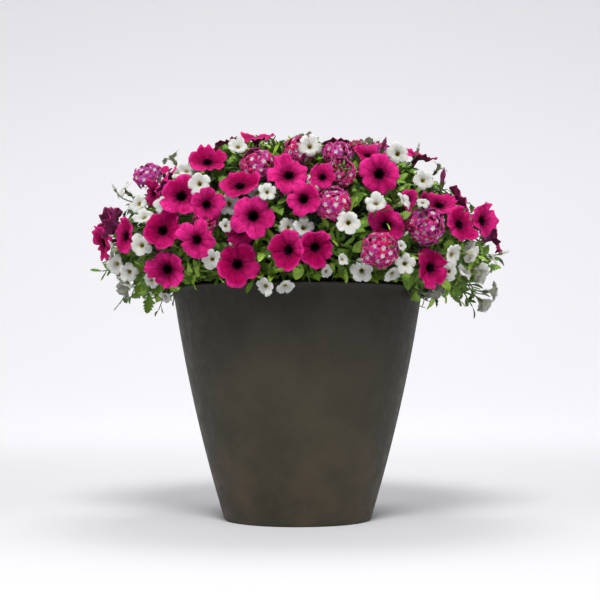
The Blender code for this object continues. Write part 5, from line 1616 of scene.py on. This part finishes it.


# Petal colours: the first and second mix by tone, which differs by bloom and, partly as painted shade, by
# lobe; shade darkens blotches, and a halo round the throat that is partly the petal's own colour and partly
# painted shade in the funnel; veins run from the throat as far as vein_end; and a paler rim, partly a painted
# highlight, lies along the edge.
Looks = namedtuple(
    "Looks",
    "first second shade patch blotch halo veins vein vein_start vein_end vein_colour rim rim_colour throat"
    " star throat_colour back back_vein tube roughness glow",
)
PETAL_LOOKS = {
    "petunia": Looks(
        first=(1.00, 0.030, 0.320), second=(0.52, 0.002, 0.115), shade=(0.24, 0.001, 0.046),
        patch=0.50, blotch=0.50, halo=0.88,
        veins=7.5, vein=0.85, vein_start=0.15, vein_end=0.90, vein_colour=(0.10, 0.001, 0.026),
        rim=0.55, rim_colour=(1.00, 0.045, 0.380),
        throat=0.28, star=0.07, throat_colour=(0.016, 0.001, 0.009),
        back=(0.34, 0.050, 0.170), back_vein=(0.20, 0.014, 0.090), tube=(0.17, 0.025, 0.095),
        roughness=0.60, glow=0.0,
    ),
    "calibrachoa": Looks(
        first=(0.98, 0.97, 0.93), second=(0.92, 0.91, 0.85), shade=(0.80, 0.80, 0.70),
        patch=0.20, blotch=0.30, halo=0.35,
        veins=15.0, vein=0.25, vein_start=0.20, vein_end=0.95, vein_colour=(0.66, 0.68, 0.60),
        rim=0.3, rim_colour=(0.98, 0.98, 0.95), throat=0.24, star=0.06, throat_colour=(0.62, 0.50, 0.06),
        back=(0.95, 0.94, 0.88), back_vein=(0.82, 0.82, 0.70), tube=(0.72, 0.74, 0.45),
        roughness=0.50, glow=0.12,
    ),
    "verbena": Looks(
        first=(1.00, 0.012, 0.170), second=(0.80, 0.100, 0.620), shade=(0.50, 0.004, 0.110),
        patch=0.30, blotch=0.50, halo=0.0,
        veins=9.0, vein=0.20, vein_start=0.30, vein_end=1.0, vein_colour=(0.45, 0.003, 0.100),
        rim=0.70, rim_colour=(1.00, 0.220, 0.540), throat=0.32, star=0.11, throat_colour=(0.98, 0.95, 0.97),
        back=(0.75, 0.120, 0.360), back_vein=(0.60, 0.050, 0.260), tube=(0.50, 0.160, 0.250),
        roughness=0.55, glow=0.0,
    ),
}


def leaf_finish():
    """Leaves from dark to fresh green by their tone, which is partly random and partly painted shade deep in
    the bush, with paler veins and a duller back.
    """
    dark, green, fresh = (0.026, 0.072, 0.007), (0.120, 0.265, 0.016), (0.460, 0.700, 0.080)
    shaded, vein_green, dull = (0.045, 0.100, 0.010), (0.240, 0.340, 0.090), (0.130, 0.190, 0.060)
    graph = Graph("leaf")
    along, away, tone, back = graph.places()
    patch = graph.noise(60.0)
    colour = graph.mix(graph.step(tone, 0.0, 0.45), dark, green)
    colour = graph.mix(graph.step(tone, 0.45, 1.0), colour, fresh)
    colour = graph.mix(graph.step(patch, 0.35, 0.7, 0.0, 0.4), colour, shaded)
    slant = graph.maths("MULTIPLY_ADD", away, -5.0, graph.maths("MULTIPLY", along, 22.0))
    side = graph.step(graph.maths("ABSOLUTE", graph.maths("SINE", slant)), 0.0, 0.35, 1.0, 0.0)
    rib = graph.step(away, 0.0, 0.16, 1.0, 0.0)
    veins = graph.maths("MAXIMUM", rib, graph.maths("MULTIPLY", side, 0.45))
    colour = graph.mix(graph.maths("MULTIPLY", veins, 0.45), colour, vein_green)
    graph.set("Base Color", graph.mix(back, colour, graph.mix(0.5, colour, dull)))
    graph.set("Roughness", graph.step(patch, 0.3, 0.7, 0.42, 0.62))
    graph.set("Specular IOR Level", 0.35)
    height = graph.maths("ADD", graph.maths("MULTIPLY", veins, -1.0), graph.noise(420.0))
    graph.bump(height, 0.5, 0.0006)
    return graph.finish


def stem_finish():
    """Green stems from dark to pale by their tone, browned in places."""
    dark, pale, brown = (0.040, 0.100, 0.018), (0.160, 0.240, 0.050), (0.090, 0.050, 0.025)
    graph = Graph("stem")
    tone = graph.places()[2]
    colour = graph.mix(tone, dark, pale)
    graph.set("Base Color", graph.mix(graph.step(graph.noise(120.0), 0.35, 0.75, 0.0, 0.5), colour, brown))
    graph.set("Roughness", graph.step(graph.noise(300.0), 0.3, 0.7, 0.45, 0.65))
    graph.bump(graph.noise(900.0), 0.3, 0.0003)
    return graph.finish


def heart_finish():
    """The deep shade between the leaves."""
    black, green = (0.003, 0.008, 0.003), (0.018, 0.045, 0.010)
    graph = Graph("heart")
    dark = graph.noise(140.0, 5.0, 0.7)
    graph.set("Base Color", graph.mix(graph.step(dark, 0.40, 0.72), black, green))
    graph.set("Roughness", graph.step(dark, 0.3, 0.7, 0.7, 0.9))
    graph.bump(graph.noise(260.0, 4.0), 0.8, 0.003)
    return graph.finish


def pot_finish():
    """Matt grey-brown plastic with a cloudy patina, painted shade of the plants over its upper part and a
    little rusty low down.
    """
    dark, pale, dusty = (0.027, 0.0232, 0.0122), (0.045, 0.0392, 0.0222), (0.056, 0.0500, 0.0305)
    shaded, rusty = (0.0040, 0.0032, 0.0016), (0.076, 0.047, 0.026)
    graph = Graph("pot")
    height = graph.node("ShaderNodeSeparateXYZ", [(0, graph.object_place())]).outputs[2]
    cloud = graph.noise(11.0, 6.0, 0.62)
    mottle = graph.noise(70.0, 5.0, 0.65)
    colour = graph.mix(graph.step(cloud, 0.30, 0.70), dark, pale)
    colour = graph.mix(graph.step(mottle, 0.45, 0.75, 0.0, 0.40), colour, dusty)
    # Painted shade: the pot darkens towards its rim, where the overhanging plants shade it.
    colour = graph.mix(graph.step(height, 0.12, 0.27, 0.0, 0.62), colour, shaded)
    low = graph.step(height, 0.02, 0.15, 0.55, 0.0)
    rust = graph.maths("MULTIPLY", low, graph.step(graph.noise(23.0, 5.0), 0.40, 0.70))
    graph.set("Base Color", graph.mix(rust, colour, rusty))
    graph.set("Roughness", graph.step(mottle, 0.3, 0.7, 0.50, 0.68))
    graph.set("Specular IOR Level", 0.35)
    graph.bump(graph.maths("MULTIPLY_ADD", mottle, 2.0, graph.noise(900.0)), 0.25, 0.0006)
    return graph.finish


def soil_finish():
    """Dark grainy soil with paler specks."""
    dark, brown, speck = (0.012, 0.008, 0.005), (0.060, 0.038, 0.022), (0.160, 0.130, 0.090)
    graph = Graph("soil")
    grain = graph.noise(420.0, 6.0, 0.7)
    colour = graph.mix(graph.step(grain, 0.35, 0.70), dark, brown)
    graph.set("Base Color", graph.mix(graph.step(graph.noise(900.0), 0.70, 0.80, 0.0, 0.7), colour, speck))
    graph.set("Roughness", graph.step(grain, 0.3, 0.7, 0.85, 0.95))
    graph.bump(grain, 0.9, 0.003)
    return graph.finish


def stage_finish():
    """A pale floor, and a backdrop with painted light: it and the floor behind the pot glow, more the further
    back and the lower they are, as if lit on their own.
    """
    white, off_white, light = (0.748, 0.745, 0.765), (0.763, 0.760, 0.780), (0.97, 0.965, 1.0)
    graph = Graph("backdrop")
    cloud = graph.noise(1.5, 2.0)
    parts = graph.node("ShaderNodeSeparateXYZ", [(0, graph.object_place())]).outputs
    fade = graph.step(parts[2], 0.0, 1.7, 0.452, 0.312)
    graph.set("Base Color", graph.mix(cloud, white, off_white))
    # Painted light: this emission, in the colour named light, stands in for lamps on the backdrop and the
    # floor behind the pot.
    graph.set("Emission Color", colour_of(light))
    graph.set("Emission Strength", graph.maths("MULTIPLY", graph.step(parts[1], 0.0, 2.2), fade))
    graph.set("Roughness", graph.step(cloud, 0.3, 0.7, 0.85, 0.95))
    return graph.finish


# Camera, lights and stage.


def build_stage():
    """A pale floor that curves up into a backdrop."""
    line = smooth_line(STAGE_PROFILE, 4)
    width = np.linspace(-STAGE_HALF_WIDTH, STAGE_HALF_WIDTH, 12)
    points = np.stack(np.broadcast_arrays(width[None, :], line[:, :1], line[:, 1:]), -1)
    batch = Batch()
    batch.add(points, grid_faces(len(line), len(width), False)[:, ::-1], place_values(points))
    batch.mesh_object("floor", stage_finish())


def build_camera():
    """The photograph's view, a little up from level."""
    camera = bpy.data.objects.new("camera", bpy.data.cameras.new("camera"))
    bpy.context.scene.collection.objects.link(camera)
    camera.location = (CAMERA_SIDE, -VIEW_DISTANCE, VIEW_HEIGHT)
    camera.rotation_euler = (math.pi / 2 + CAMERA_PITCH, 0, 0)
    camera.data.lens = CAMERA_LENS
    camera.data.sensor_width = CAMERA_SENSOR
    camera.data.clip_start = CAMERA_NEAR
    bpy.context.scene.camera = camera


def add_light(name, place, aim, size, watts):
    """A soft rectangular light that points at its aim."""
    data = bpy.data.lights.new(name, "AREA")
    data.shape = "RECTANGLE"
    data.size, data.size_y = size
    data.energy = watts
    light = bpy.data.objects.new(name, data)
    bpy.context.scene.collection.objects.link(light)
    light.location = place
    light.rotation_euler = (Vector(aim) - Vector(place)).to_track_quat("-Z", "Y").to_euler()


def build_lights():
    """The soft lights and an even sky."""
    for name, place, aim, size, watts in LIGHTS:
        add_light(name, place, aim, size, watts)
    world = bpy.data.worlds.new("studio")
    bpy.context.scene.world = world
    world.use_nodes = True
    ground = world.node_tree.nodes["Background"]
    ground.inputs["Color"].default_value = SKY_COLOUR
    ground.inputs["Strength"].default_value = SKY_STRENGTH


def main():
    """Lays out the blooms with one run of random draws, and shapes everything with another."""
    draw = random.Random(SEED)
    front, placed = front_sprays(draw)
    sprays = front + around_sprays(draw, placed)
    finishes = {kind: petal_finish(kind, looks) for kind, looks in PETAL_LOOKS.items()}
    finishes["leaf"] = leaf_finish()
    finishes["stem"] = stem_finish()
    bpy.context.scene.view_settings.view_transform = "Standard"
    build_camera()
    build_lights()
    build_stage()
    build_pot(pot_finish())
    draw = random.Random(SEED + 1)
    build_soil(soil_finish(), draw)
    build_heart(heart_finish(), draw)
    grow_blooms(draw, sprays, placed, finishes)
    grow_foliage(draw, placed, finishes)
    grow_buds(draw, finishes)


main()
